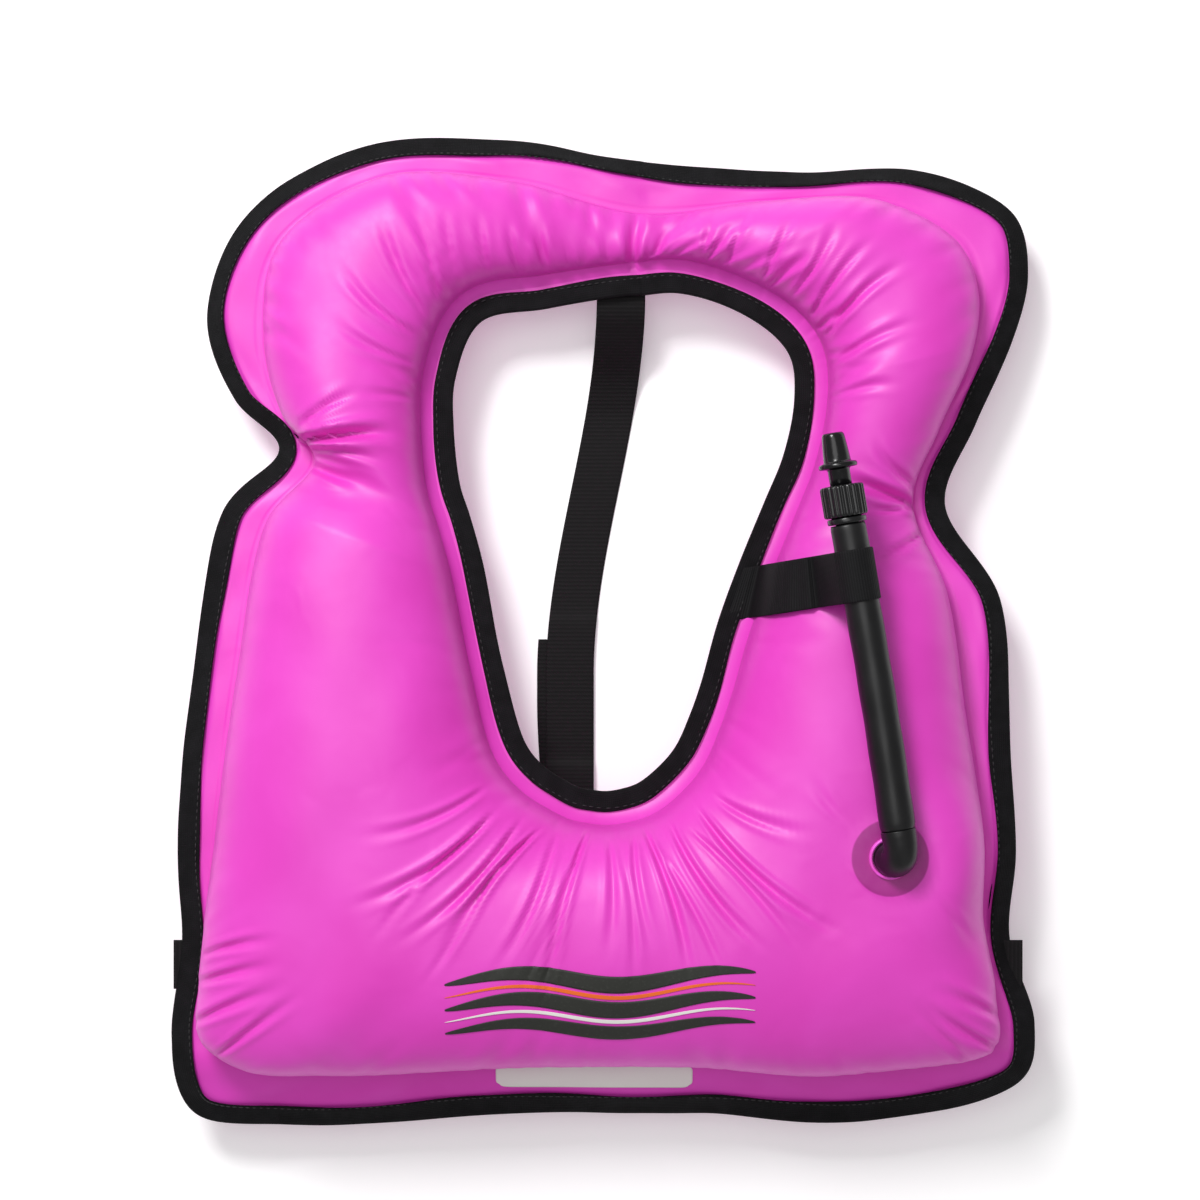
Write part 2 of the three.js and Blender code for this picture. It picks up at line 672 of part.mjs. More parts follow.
// slider: a centre bar under the two layers, side rails and an end bar over each end
const sliderHalf = strapHalf + 0.6;
const sliderRail = 2.4;
const barOver = strapSliding + layerStep + ground + clearance;
const barThick = 1.4;
const slider = block(-sliderHalf - sliderRail, -sliderHalf, -sliderLength / 2, sliderLength / 2, 0, barOver + barThick)
  .add(block(sliderHalf, sliderHalf + sliderRail, -sliderLength / 2, sliderLength / 2, 0, barOver + barThick))
  .add(block(-sliderHalf - 1, sliderHalf + 1, -2.5, 2.5, 0, sliderBar))
  .add(block(-sliderHalf - 1, sliderHalf + 1, -sliderLength / 2, -sliderLength / 2 + 4, barOver, barOver + barThick))
  .add(block(-sliderHalf - 1, sliderHalf + 1, sliderLength / 2 - 4, sliderLength / 2, barOver, barOver + barThick));
add('strap_slider', toGeometry(slider.translate([strapMid, sliderMiddle, 0])), 0x1a1a1c, 0.4);

// ---- side-release buckle, lying under the chest on the waist belt ----
const buckleX = buckleMiddle * stretchX;
const slotHalf = strapHalf + 0.6;
const buckleHalf = slotHalf + buckleWall;
const cavityHalf = buckleHalf - buckleWall - 0.7;
const cavityTop = buckleHeight - 2.1;
const barLow = 3.2;
const barHigh = 6.2;
const windowNear = -11;
const windowFar = -20.5;
const socket = block(-38, 2, -buckleHalf, buckleHalf, 0, buckleHeight)
  .subtract(block(-22, 3, -cavityHalf, cavityHalf, buckleFloor, cavityTop))
  .subtract(block(windowFar, windowNear, -buckleHalf - 1, buckleHalf + 1, buckleFloor, cavityTop))
  .subtract(block(-34, -28.5, -slotHalf, slotHalf, -1, buckleHeight + 1))
  .subtract(block(-39, -33, -slotHalf, slotHalf, -1, barLow))
  .subtract(block(-39, -33, -slotHalf, slotHalf, barHigh, buckleHeight + 1));
const buckleOrigin = [buckleX, beltMiddle, 0];
add('buckle_socket', toGeometry(socket.translate(buckleOrigin)), 0x161618, 0.4);

const tongueHalf = 2.4;
const latchPlate = block(4, 30, -buckleHalf, buckleHalf, latchLow, latchHigh)
  .subtract(block(9, 14, -slotHalf, slotHalf, latchLow - 1, latchHigh + 1))
  .subtract(block(18, 23, -slotHalf, slotHalf, latchLow - 1, latchHigh + 1))
  .add(block(-16, 5, -tongueHalf, tongueHalf, latchLow, latchHigh));
add('buckle_plug', toGeometry(latchPlate.translate(buckleOrigin)), 0x161618, 0.4);

// one sprung arm with its catch in the socket's window
const armGap = 0.7;
const armThick = 2.8;
const armOuter = cavityHalf - armGap;
const armInner = armOuter - armThick;
function latchArm(side) {
  const outline = [
    [2.4, armInner], [2.4, armOuter], [windowNear - 0.6, armOuter],
    [windowNear - 0.6, cavityHalf + 2], [-19.5, armOuter - 0.3], [-19.5, armInner + 0.2],
  ];
  const shape = new THREE.Shape(outline.map(([x, y]) => new THREE.Vector2(x, y * side)));
  const arm = new THREE.ExtrudeGeometry(shape, {
    depth: latchHigh - latchLow, steps: 1, bevelEnabled: false,
  });
  arm.translate(buckleX, beltMiddle, latchLow);
  return arm;
}
add('latch_arm_head_side', latchArm(1), 0x161618, 0.4);
add('latch_arm_hem_side', latchArm(-1), 0x161618, 0.4);

// ---- waist belt, from the right hem to the plug, and the short strap to the socket ----
const hemUnder = seamHeight(beltMiddle) - seamFace - clearance - tapeWall - clearance - ground;
const rightHem = 219 * stretchX;
const leftHem = -221 * stretchX;
const rightWeld = 196 * stretchX;
const leftWeld = -200 * stretchX;
const crossing = strapHalf + 7; // the belt is lifted this far each side of the collar strap
const belt = [
  [rightHem, hemUnder], [rightWeld + 11, hemUnder], [rightWeld + 7, hemUnder - 3],
  [rightWeld + 5.5, hemUnder - 9], [rightWeld + 4, 8], [rightWeld, 2.2], [rightWeld - 7, ground],
  [strapMid + crossing + 12, ground], [strapMid + crossing, ground + layerStep],
  [strapMid - crossing, ground + layerStep], [strapMid - crossing - 12, ground],
  [buckleX + 14, ground], [buckleX + 12, 1.3], [buckleX + 11, 2.8], [buckleX + 11, latchHigh - 0.6],
  [buckleX + 12.2, latchHigh + 0.8], [buckleX + 16, latchHigh + 1.2],
  [buckleX + 19.6, latchHigh + 0.8], [buckleX + 20.6, latchHigh - 0.6], [buckleX + 20.7, 3.9],
  [buckleX + 22.4, 2.6], [buckleX + 25, ground + layerStep], [buckleX + 64, ground + layerStep],
];
const beltBasis = [axisX, axisZ, axisY.clone().negate()];
const beltOrigin = new THREE.Vector3(0, beltMiddle, 0);
add('waist_belt', strip(belt, webbingThick, webbingWidth, beltBasis, beltOrigin), webbingBlack, 0.8);

const shortStrap = [
  [leftHem, hemUnder], [leftWeld - 9, hemUnder], [leftWeld - 6, hemUnder - 3],
  [leftWeld - 5, hemUnder - 9], [leftWeld - 4, 8], [leftWeld, 2.2], [leftWeld + 6, ground],
  [buckleX - 36, ground], [buckleX - 33.2, 1.3], [buckleX - 32.2, 3], [buckleX - 32.2, barHigh],
  [buckleX - 33.6, barHigh + 1.2], [buckleX - 37, barHigh + 1.35],
  [buckleX - 42, 5.9], [buckleX - 48, ground + layerStep + 0.2], [buckleX - 70, ground + layerStep],
];
add('short_belt_strap', strip(
  shortStrap, webbingThick, webbingWidth, beltBasis, beltOrigin,
), webbingBlack, 0.8);

// ---- origin at the middle of the vest's footprint, on the ground ----
vest.updateMatrixWorld(true);
const bounds = new THREE.Box3().setFromObject(vest, true);
const middle = bounds.getCenter(new THREE.Vector3());
vest.position.set(-middle.x, -middle.y, -bounds.min.z);

export default vest;
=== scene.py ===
# Inflatable horse-collar snorkelling vest, blown up and lying on its back with the chest up.
# +Y is towards the head end and +X is the inflator side. Sizes are in millimetres until a mesh is made.
import json
import math

import bmesh
import bpy
import numpy as np
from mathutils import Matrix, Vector


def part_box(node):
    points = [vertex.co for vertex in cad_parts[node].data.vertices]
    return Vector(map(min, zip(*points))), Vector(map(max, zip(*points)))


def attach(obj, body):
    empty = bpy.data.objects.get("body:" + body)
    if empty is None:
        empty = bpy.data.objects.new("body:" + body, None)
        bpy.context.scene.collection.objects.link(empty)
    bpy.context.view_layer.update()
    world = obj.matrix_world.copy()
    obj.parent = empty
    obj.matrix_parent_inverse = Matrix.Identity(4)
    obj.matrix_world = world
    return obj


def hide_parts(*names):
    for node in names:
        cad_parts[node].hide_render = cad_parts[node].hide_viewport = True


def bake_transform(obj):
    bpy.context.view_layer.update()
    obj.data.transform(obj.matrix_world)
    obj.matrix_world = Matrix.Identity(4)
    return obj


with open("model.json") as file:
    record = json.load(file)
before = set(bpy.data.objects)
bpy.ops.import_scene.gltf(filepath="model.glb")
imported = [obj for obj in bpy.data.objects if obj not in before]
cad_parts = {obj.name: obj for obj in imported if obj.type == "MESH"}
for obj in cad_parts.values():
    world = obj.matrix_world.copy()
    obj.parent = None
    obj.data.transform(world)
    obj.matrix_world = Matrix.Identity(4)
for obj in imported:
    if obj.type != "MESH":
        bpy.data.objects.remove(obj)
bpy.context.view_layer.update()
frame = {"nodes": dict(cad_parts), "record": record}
scene = bpy.context.scene

# ---- Camera ----
# A long lens straight above the chest, a little towards the head end of the vest's middle.
camera_data = bpy.data.cameras.new("camera")
camera_data.lens = 90.1
camera_data.sensor_width = 36.0
camera = bpy.data.objects.new("camera", camera_data)
camera.location = (-0.0015, 0.0163, 1.6)
scene.collection.objects.link(camera)
scene.camera = camera

# ---- Cut of the vest ----
# Two like pieces of coated nylon are cut to one outline, with a neck hole and a notch at each shoulder.
# Each station is neck hole x y, outer edge x y, and the width of the flat flange outside the outer weld.
stations = np.array([
    [21, 159, 21, 229, 30],  # top of the collar
    [-28, 152, -52, 240, 25],
    [-62, 145, -123, 237, 22],
    [-75, 115, -185, 200, 25],
    [-76, 90, -205, 150, 35],
    [-73, 60, -190, 105, 29],
    [-68, 44, -167, 79, 22],  # left shoulder notch
    [-61, 19, -196, 46, 26],
    [-50, -34, -211, -41, 25],
    [-39, -74, -219, -130, 23],
    [-29, -86, -216, -177, 16],
    [-18, -93, -222, -226, 30],
    [-10, -97, -212, -267, 50],  # left bottom corner
    [-5, -98, -165, -274, 48],
    [3, -99, -41, -268, 38],
    [11, -98, 52, -268, 38],
    [20, -95, 140, -272, 42],
    [31, -86, 218, -250, 42],  # right bottom corner
    [39, -76, 225, -220, 35],
    [46, -60, 212, -174, 20],
    [52, -43, 215, -130, 22],
    [61, -12, 212, -64, 27],
    [73, 20, 208, 0, 31],
    [86, 52, 179, 50, 19],  # right shoulder notch
    [95, 75, 196, 92, 22],
    [101, 104, 215, 135, 24],
    [100, 125, 223, 170, 30],
    [92, 137, 216, 202, 36],
    [72, 150, 165, 224, 28],
    [41, 160, 99, 223, 23],
], float)


def closed_curve(points, count):
    """Closed curve through the points, at count even steps of their order: on each span a cubic whose
    slopes at both ends come from the points beside it, weighed by the square roots of their distances."""
    u = np.arange(count) * len(points) / count
    span = np.floor(u).astype(int)
    t = (u - span)[:, None]
    p0, p1, p2, p3 = (points[(span + k) % len(points)] for k in (-1, 0, 1, 2))
    d0, d1, d2 = (np.linalg.norm(b - a, axis=1, keepdims=True) ** 0.5
                  for a, b in ((p0, p1), (p1, p2), (p2, p3)))
    m1 = ((p1 - p0) / d0 - (p2 - p0) / (d0 + d1) + (p2 - p1) / d1) * d1
    m2 = ((p2 - p1) / d1 - (p3 - p1) / (d1 + d2) + (p3 - p2) / d2) * d1
    return p1 + m1 * t + (3 * (p2 - p1) - 2 * m1 - m2) * t**2 + (2 * (p1 - p2) + m1 + m2) * t**3


def across(outline, outwards):
    """Unit direction at right angles to a closed outline, from the chord between each point's neighbours."""
    along = np.roll(outline, -2, axis=0) - np.roll(outline, 2, axis=0)
    square = np.stack([along[:, 1], -along[:, 0]], axis=1) * outwards
    return square / np.linalg.norm(square, axis=1, keepdims=True)


def arc_length(outline):
    """Length along a closed outline up to each of its points."""
    steps = np.linalg.norm(np.roll(outline, -1, axis=0) - outline, axis=1)
    return np.concatenate([[0.0], np.cumsum(steps)[:-1]])


def smooth(value):
    """Eases from 0 to 1 with level ends."""
    t = np.clip(value, 0, 1)
    return t * t * (3 - 2 * t)


columns = 720
towards_neck = stations[:, :2] - stations[:, 2:4]
towards_neck /= np.linalg.norm(towards_neck, axis=1, keepdims=True)
neck_line = closed_curve(stations[:, :2], columns)
edge_line = closed_curve(stations[:, 2:4], columns)
weld_line = closed_curve(stations[:, 2:4] + towards_neck * stations[:, 4:], columns)
binding_low, binding_high = (np.array(corner[:2]) * 1000 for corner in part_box("outer_binding"))
to_frame = (binding_low + binding_high) / 2 - (edge_line.min(axis=0) + edge_line.max(axis=0)) / 2
neck_line += to_frame
edge_line += to_frame
weld_line += to_frame
neck_across = across(neck_line, 1)
edge_across = across(edge_line, -1)

# The loose rim outside the weld curls down towards the ground, most round the collar and least at the hem.
# Curl is the slope of the rim's last stretch, which is as wide as the tape that covers it.
tape_width = 12.5
edge_run = arc_length(edge_line)
collar_share = np.clip((edge_line[:, 1] - 20) / 200, 0, 1)
curl = 0.46 + 0.3 * collar_share + 0.15 * np.sin(edge_run / 37 + 1.4 * np.sin(edge_run / 71))
curl_reach = tape_width * np.cos(curl)


def rim_drop(reach):
    """How far the rim has dropped at a distance from its raw edge: a straight slope over the curled stretch,
    easing into the flat flange."""
    over = curl_reach - reach
    return np.tan(curl) * (over + np.sqrt(over**2 + 3)) / 2


# ---- Inflated chamber ----
# The two nylon pieces are welded round the neck hole and round the outside, and blown up by mouth. The fabric
# can't shrink along a weld, so each weld gathers it into short folds, and longer creases run out from the
# neck hole and into the shoulder notches.
seam_collar = 32
seam_chest = 46
hem_droop = 12
chest_rise = 50
collar_rise = 34
fullness = 0.46
chest_underside = 11.4
neck_hem = 17
port = np.array([145.5, -129.5]) + to_frame
port_face = 93.95
port_disc_radius = 20.4
fabric_half = 0.5  # from the weld plane to one panel's outer face
chamber_rows = 66
dice = np.random.default_rng(7)


def seam_height(y):
    """Height of the weld plane: higher at the chest than at the collar, and drooping at the bottom hem."""
    y = y - to_frame[1]
    slope = seam_collar + (seam_chest - seam_collar) * smooth((220 - y) / 370)
    return slope - hem_droop * smooth((-232 - y) / 38)


def crown_rise(y):
    """How far the chamber stands above its weld plane where it is wide enough."""
    return collar_rise + (chest_rise - collar_rise) * smooth((200 - (y - to_frame[1])) / 300)


def weld_folds(distance, along, spacing, depth, reach, width):
    """Folds gathered by a weld: valleys at uneven spacing along it, each with its own depth and length,
    narrow at the weld and widening away from it."""
    total = along[-1] + (along[1] - along[0])
    count = int(round(total / spacing))
    places = (np.arange(count) + dice.uniform(-0.36, 0.36, count)) * total / count
    depths = depth * dice.uniform(0.15, 1.0, count) ** 1.6
    reaches = reach * dice.uniform(0.4, 1.3, count)
    widths = width * dice.uniform(0.7, 1.4, count)
    slants = dice.uniform(-0.35, 0.35, count)
    folds = np.zeros_like(distance)
    for place, deep, far, wide, slant in zip(places, depths, reaches, widths, slants):
        off = along[None, :] - place - slant * distance
        off = (off + total / 2) % total - total / 2
        spread = wide * (1 + 1.1 * distance / far)
        valley = np.exp(-(off / spread) ** 2) - 0.42 * np.exp(-((np.abs(off) - 1.9 * spread) / spread) ** 2)
        folds -= deep * valley * np.exp(-(distance / far) ** 2)
    return folds


def crease(points, start, end, width, depth, bow=0.0):
    """One crease between two places in plan: a sharp valley between two soft lips that starts deep, dies
    away along its length and may bow sideways."""
    start = np.array(start, float) + to_frame
    run = np.array(end, float) + to_frame - start
    length = np.hypot(*run)
    along = ((points - start) @ run) / length**2
    square = np.array([-run[1], run[0]]) / length
    off = (points - start) @ square - bow * 4 * along * (1 - along)
    fade = smooth((along + 0.12) / 0.2) * smooth((1.12 - along) / 0.75)
    spread = 0.8 * width * (0.65 + 0.6 * np.clip(along, 0, 1))
    lips = np.exp(-((np.abs(off) - 2.1 * spread) / spread) ** 2)
    valley = np.exp(-(np.abs(off) / spread) ** 1.5) - 0.45 * lips
    return -depth * fade * valley


def billows(points, count, shortest, longest):
    """Soft unevenness: a sum of plane waves of chance direction and length."""
    total = np.zeros(points.shape[:-1])
    for _ in range(count):
        turn, phase = dice.uniform(0, 2 * math.pi, 2)
        length = dice.uniform(shortest, longest)
        heading = np.array([math.cos(turn), math.sin(turn)])
        total += np.sin(2 * math.pi * (points @ heading) / length + phase)
    return total / math.sqrt(count)


chest_creases = [
    # start, end, width, depth, bow
    ((-58, -112), (-121, -152), 2.6, 3.4, 5), ((-44, -117), (-97, -169), 2.3, 3.0, 4),
    ((-36, -121), (-80, -180), 2.0, 3.2, -4), ((-24, -124), (-52, -186), 2.4, 2.2, 3),
    ((-9, -124), (-27, -199), 2.1, 3.4, -3), ((5, -126), (4, -178), 2.6, 1.8, 2),
    ((17, -124), (26, -176), 2.2, 1.8, -2), ((25, -122), (45, -190), 2.1, 3.2, 3),
    ((38, -119), (83, -175), 2.2, 3.2, -4), ((54, -112), (124, -168), 2.4, 3.2, -6),
    ((50, -120), (101, -178), 1.9, 2.0, 3), ((-62, -98), (-118, -118), 2.6, 2.0, 4),
    ((-66, -120), (-112, -170), 1.8, 1.8, -3), ((-50, -128), (-86, -190), 1.8, 1.6, 2),
    ((-16, -134), (-40, -196), 1.8, 1.6, 2), ((14, -140), (16, -194), 2.0, 1.5, 2),
    ((34, -134), (62, -190), 1.8, 1.8, 2), ((62, -102), (112, -116), 2.6, 1.8, -4),
    ((-92, 150), (-112, 194), 2.2, 3.0, 2), ((-84, 158), (-97, 199), 2.0, 2.8, -2),
    ((-98, 138), (-131, 168), 2.2, 3.0, 3), ((-97, 122), (-134, 140), 2.4, 2.2, 2),
    ((-96, 104), (-124, 106), 2.2, 1.6, 0), ((-72, 162), (-80, 198), 2.0, 2.6, 1),
    ((-58, 166), (-63, 198), 2.0, 2.2, 0), ((-42, 168), (-47, 197), 2.0, 1.8, 1),
    ((-28, 169), (-31, 197), 2.2, 2.4, 1), ((17, 164), (19, 202), 2.8, 6.5, 1),
    ((28, 172), (36, 196), 2.0, 1.8, 1), ((52, 174), (58, 198), 2.0, 1.8, 0),
    ((66, 172), (76, 198), 2.0, 2.2, 1), ((84, 166), (98, 196), 2.0, 2.4, 0),
    ((100, 158), (120, 192), 2.2, 2.8, -2), ((110, 148), (138, 184), 2.2, 3.0, 2),
    ((118, 138), (154, 172), 2.4, 3.0, 3), ((121, 122), (160, 142), 2.4, 2.4, 2),
    ((119, 104), (152, 110), 2.4, 1.6, 2),
    ((-152, 80), (-104, 85), 3.2, 8.5, 2), ((-152, 72), (-122, 60), 2.4, 3.6, -2),
    ((-150, 90), (-122, 106), 2.4, 3.2, 2), ((-148, 76), (-110, 70), 2.0, 2.4, 2),
    ((165, 44), (124, 62), 3.0, 6.5, -2), ((164, 36), (134, 18), 2.4, 3.2, 2),
    ((165, 54), (140, 80), 2.2, 3.0, 2), ((163, 48), (132, 46), 1.9, 2.2, 1),
    ((-196, -178), (-162, -170), 2.2, 3.2, 2), ((-199, -192), (-160, -182), 2.4, 3.6, 2),
    ((-194, -208), (-156, -192), 2.4, 3.4, 2), ((-178, -220), (-148, -196), 2.2, 2.6, 0),
    ((196, -206), (162, -190), 2.4, 3.6, -2), ((190, -217), (154, -198), 2.4, 3.2, 0),
    ((174, -222), (150, -198), 2.2, 2.6, 0), ((124, -146), (106, -170), 2.4, 1.8, 2),
    ((168, -148), (184, -170), 2.4, 1.9, 0), ((170, -118), (188, -112), 2.2, 1.6, 0),
    ((124, -112), (108, -90), 2.6, 1.7, 2),
]


def panel_surface(side):
    """One panel as rows from the neck hole outwards: a flat hem, the chamber between the two welds as half of
    an ellipse a little squarer than round, with its folds, and a flange whose raw edge ends inside the tape
    and which curls down. The front leans out over its outer weld, most at the hem and its corners; the back
    is eased off the ground. Side is 1 for the front and -1 for the back."""
    tuck = 1.4
    squareness = 2.25
    hem = np.linspace(tuck, neck_hem, 11)[:-1, None, None]
    neck_part = neck_line + neck_across * hem
    neck_weld = neck_line + neck_across * neck_hem
    t = (1 - np.cos(np.linspace(0, math.pi, chamber_rows))) / 2
    t = t[:, None]
    chamber_part = neck_weld + (weld_line - neck_weld) * t[:, :, None]
    share = np.linspace(0, 1, 21)[1:, None, None]
    raw_edge = edge_line + edge_across * (0.55 * curl_reach)[:, None]
    flange_part = weld_line + (raw_edge - weld_line) * share
    plan = np.concatenate([neck_part, chamber_part, flange_part])
    height = seam_height(plan[..., 1]) + side * fabric_half

    inside = slice(len(neck_part), len(neck_part) + chamber_rows)
    width = np.linalg.norm(weld_line - neck_weld, axis=1)
    crown = np.minimum(fullness * width, crown_rise(chamber_part[..., 1]))
    round_profile = np.clip(1 - np.abs(2 * t - 1) ** squareness, 0, 1) ** (1 / squareness)
    lift = crown * round_profile
    from_neck = width * t
    from_weld = width * (1 - t)
    gather = 0.45 + 0.9 * smooth((weld_line[:, 1] - 120) / 60) + 0.8 * smooth((-170 - weld_line[:, 1]) / 30)
    lift += gather * weld_folds(from_weld, arc_length(weld_line), 12, 1.9, 15, 2.0) * smooth(from_weld / 3)
    gather = 0.3 + 1.5 * smooth((neck_weld[:, 1] - 100) / 50)
    lift += gather * weld_folds(from_neck, arc_length(neck_weld), 8.5, 2.1, 25, 1.6) * smooth(from_neck / 3)
    lift += 0.5 * billows(chamber_part, 9, 34, 90) * round_profile
    outwards = (weld_line - neck_weld) / width[:, None]
    overhang = 3.0 + 9.0 * smooth((-196 + to_frame[1] - weld_line[:, 1]) / 26)
    for corner in ((-221, -224), (214, -226)):
        off_corner = np.linalg.norm(weld_line - corner - to_frame, axis=1)
        overhang = overhang + 15 * np.exp(-(off_corner / 42) ** 2)
    swell = 4 * round_profile * (1 - round_profile) * (t > 0.5)
    if side > 0:
        for start, end, wide, deep, bow in chest_creases:
            lift += crease(chamber_part, start, end, wide, deep, bow) * smooth(round_profile / 0.5)
        off_port = np.linalg.norm(chamber_part - port, axis=2)
        flat = port_face - seam_height(chamber_part[..., 1])
        disc = 0.7 * smooth((port_disc_radius - off_port) / 1.6)
        lift = flat + disc + (lift - flat) * smooth((off_port - 24) / 34)
        height[inside] += lift
    else:
        ground = chest_underside * smooth((-60 - (chamber_part[..., 1] - to_frame[1])) / 45) + 0.25
        low = height[inside] - lift - ground
        height[inside] = ground + (low + np.sqrt(low**2 + 5)) / 2
    if side > 0:
        plan[inside] += outwards * (overhang * swell)[..., None]
    flange = slice(len(neck_part) + chamber_rows, None)
    from_edge = ((flange_part - edge_line) * edge_across).sum(axis=2)
    height[flange] -= rim_drop(from_edge) * smooth(share[..., 0] * 5)
    height[flange] -= side * 0.6 * smooth((curl_reach + 1 - from_edge) / 2)
    ripple = np.sin(edge_run / 9.5 + 2 * np.sin(edge_run / 61)) * np.sin(edge_run / 23 + 1)
    height[flange] += 0.9 * ripple * smooth(share[..., 0] * 1.6) * (1 - smooth((share[..., 0] - 0.55) / 0.3))
    emboss = np.zeros_like(height)
    beside_welds = ((slice(0, len(neck_part)), neck_hem - hem[..., 0]),
                    (flange, share[..., 0] * stations[:, 4].mean()))
    for rows, off_weld in beside_welds:
        for line in (1.6, 6.0):
            emboss[rows] -= 0.38 * np.exp(-((off_weld - line) / 0.8) ** 2)
    height += side * emboss
    return np.concatenate([plan, height[..., None]], axis=2)


def grid_faces(rows, cols, wrap_rows=False, wrap_cols=True):
    """Four-sided faces of a grid of points numbered row by row."""
    r = np.arange(rows if wrap_rows else rows - 1)[:, None]
    c = np.arange(cols if wrap_cols else cols - 1)[None, :]
    r2 = (r + 1) % rows
    c2 = (c + 1) % cols
    return np.stack([r * cols + c, r * cols + c2, r2 * cols + c2, r2 * cols + c], axis=-1).reshape(-1, 4)


def make_piece(name, points, faces, material, body, closed=True):
    """Puts points in millimetres and four-sided faces into a new smooth-shaded object. The faces of a closed
    shape are turned round if the volume that they bound comes out negative."""
    points = np.asarray(points, float).reshape(-1, 3) / 1000
    corners = points[faces]
    if closed:
        split = np.concatenate([corners[:, [0, 1, 2]], corners[:, [0, 2, 3]]])
        volume = np.einsum("ij,ij->i", split[:, 0], np.cross(split[:, 1], split[:, 2])).sum()
        if volume < 0:
            faces = faces[:, ::-1]
    mesh = bpy.data.meshes.new(name)
    mesh.vertices.add(len(points))
    mesh.vertices.foreach_set("co", points.astype(np.float32).ravel())
    mesh.loops.add(faces.size)
    mesh.loops.foreach_set("vertex_index", faces.astype(np.int32).ravel())
    mesh.polygons.add(len(faces))
    mesh.polygons.foreach_set("loop_start", np.arange(0, faces.size, 4, dtype=np.int32))
    mesh.polygons.foreach_set("loop_total", np.full(len(faces), 4, np.int32))
    mesh.update(calc_edges=True)
    mesh.validate()
    mesh.shade_smooth()
    mesh.materials.append(material)
    piece = bpy.data.objects.new(name, mesh)
    scene.collection.objects.link(piece)
    if body:
        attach(piece, body)
    return piece


def merge_doubles(piece):
    """Joins points that share a place, drops faces without area, and turns all faces outwards."""
    work = bmesh.new()
    work.from_mesh(piece.data)
    bmesh.ops.remove_doubles(work, verts=work.verts, dist=2e-6)
    bmesh.ops.dissolve_degenerate(work, dist=1e-7, edges=work.edges)
    bmesh.ops.recalc_face_normals(work, faces=work.faces)
    work.to_mesh(piece.data)
    work.free()
    piece.data.update()


def new_material(name, color, roughness):
    """A Principled material with its node tree and shader. Colour is given as on a screen, 0 to 1."""
    material = bpy.data.materials.new(name)
    material.use_nodes = True
    shader = material.node_tree.nodes["Principled BSDF"]
    shader.inputs["Base Color"].default_value = (*(linear(c) for c in color), 1)
    shader.inputs["Roughness"].default_value = roughness
    return material, material.node_tree, shader


def linear(c):
    """Screen value of a colour channel to linear light."""
    return c / 12.92 if c <= 0.04045 else ((c + 0.055) / 1.055) ** 2.4


def node(tree, kind, settings=(), **inputs):
    """Adds a node, sets its properties, and links or sets its inputs: by name, with _ for a space, or by
    number as i0, i1."""
    new = tree.nodes.new("ShaderNode" + kind)
    for key, value in dict(settings).items():
        setattr(new, key, value)
    for key, value in inputs.items():
        numbered = key[0] == "i" and key[1:].isdigit()
        socket = new.inputs[int(key[1:]) if numbered else key.replace("_", " ")]
        if isinstance(value, bpy.types.NodeSocket):
            tree.links.new(value, socket)
        else:
            socket.default_value = value
    return new


def mixed(tree, share, first, second):
    """Colour between two screen colours or sockets, by a share socket."""
    mix = node(tree, "Mix", {"data_type": "RGBA"})
    tree.links.new(share, mix.inputs[0])
    for socket, value in ((mix.inputs[6], first), (mix.inputs[7], second)):
        if isinstance(value, bpy.types.NodeSocket):
            tree.links.new(value, socket)
        else:
            socket.default_value = (*(linear(c) for c in value), 1)
    return mix.outputs[2]


def ramp(tree, value, low, high, to_low=0.0, to_high=1.0):
    """A value's stretch from low to high, mapped smoothly onto another stretch."""
    return node(tree, "MapRange", {"interpolation_type": "SMOOTHSTEP"}, Value=value, From_Min=low,
                From_Max=high, To_Min=to_low, To_Max=to_high).outputs[0]


def place_of(tree):
    """Object coordinates."""
    return node(tree, "TexCoord").outputs["Object"]


def gloss_between(tree, shader, value, low, high):
    """Lets a texture's value move the roughness between two bounds."""
    spread = node(tree, "MapRange", Value=value, To_Min=low, To_Max=high)
    tree.links.new(spread.outputs[0], shader.inputs["Roughness"])


def relief(tree, shader, *layers):
    """Bump layers of height socket, strength and depth in metres, each on top of the one before."""
    below = {}
    for height, strength, depth in layers:
        bump = node(tree, "Bump", Strength=strength, Distance=depth, Height=height, **below)
        below = {"Normal": bump.outputs[0]}
    tree.links.new(bump.outputs[0], shader.inputs["Normal"])


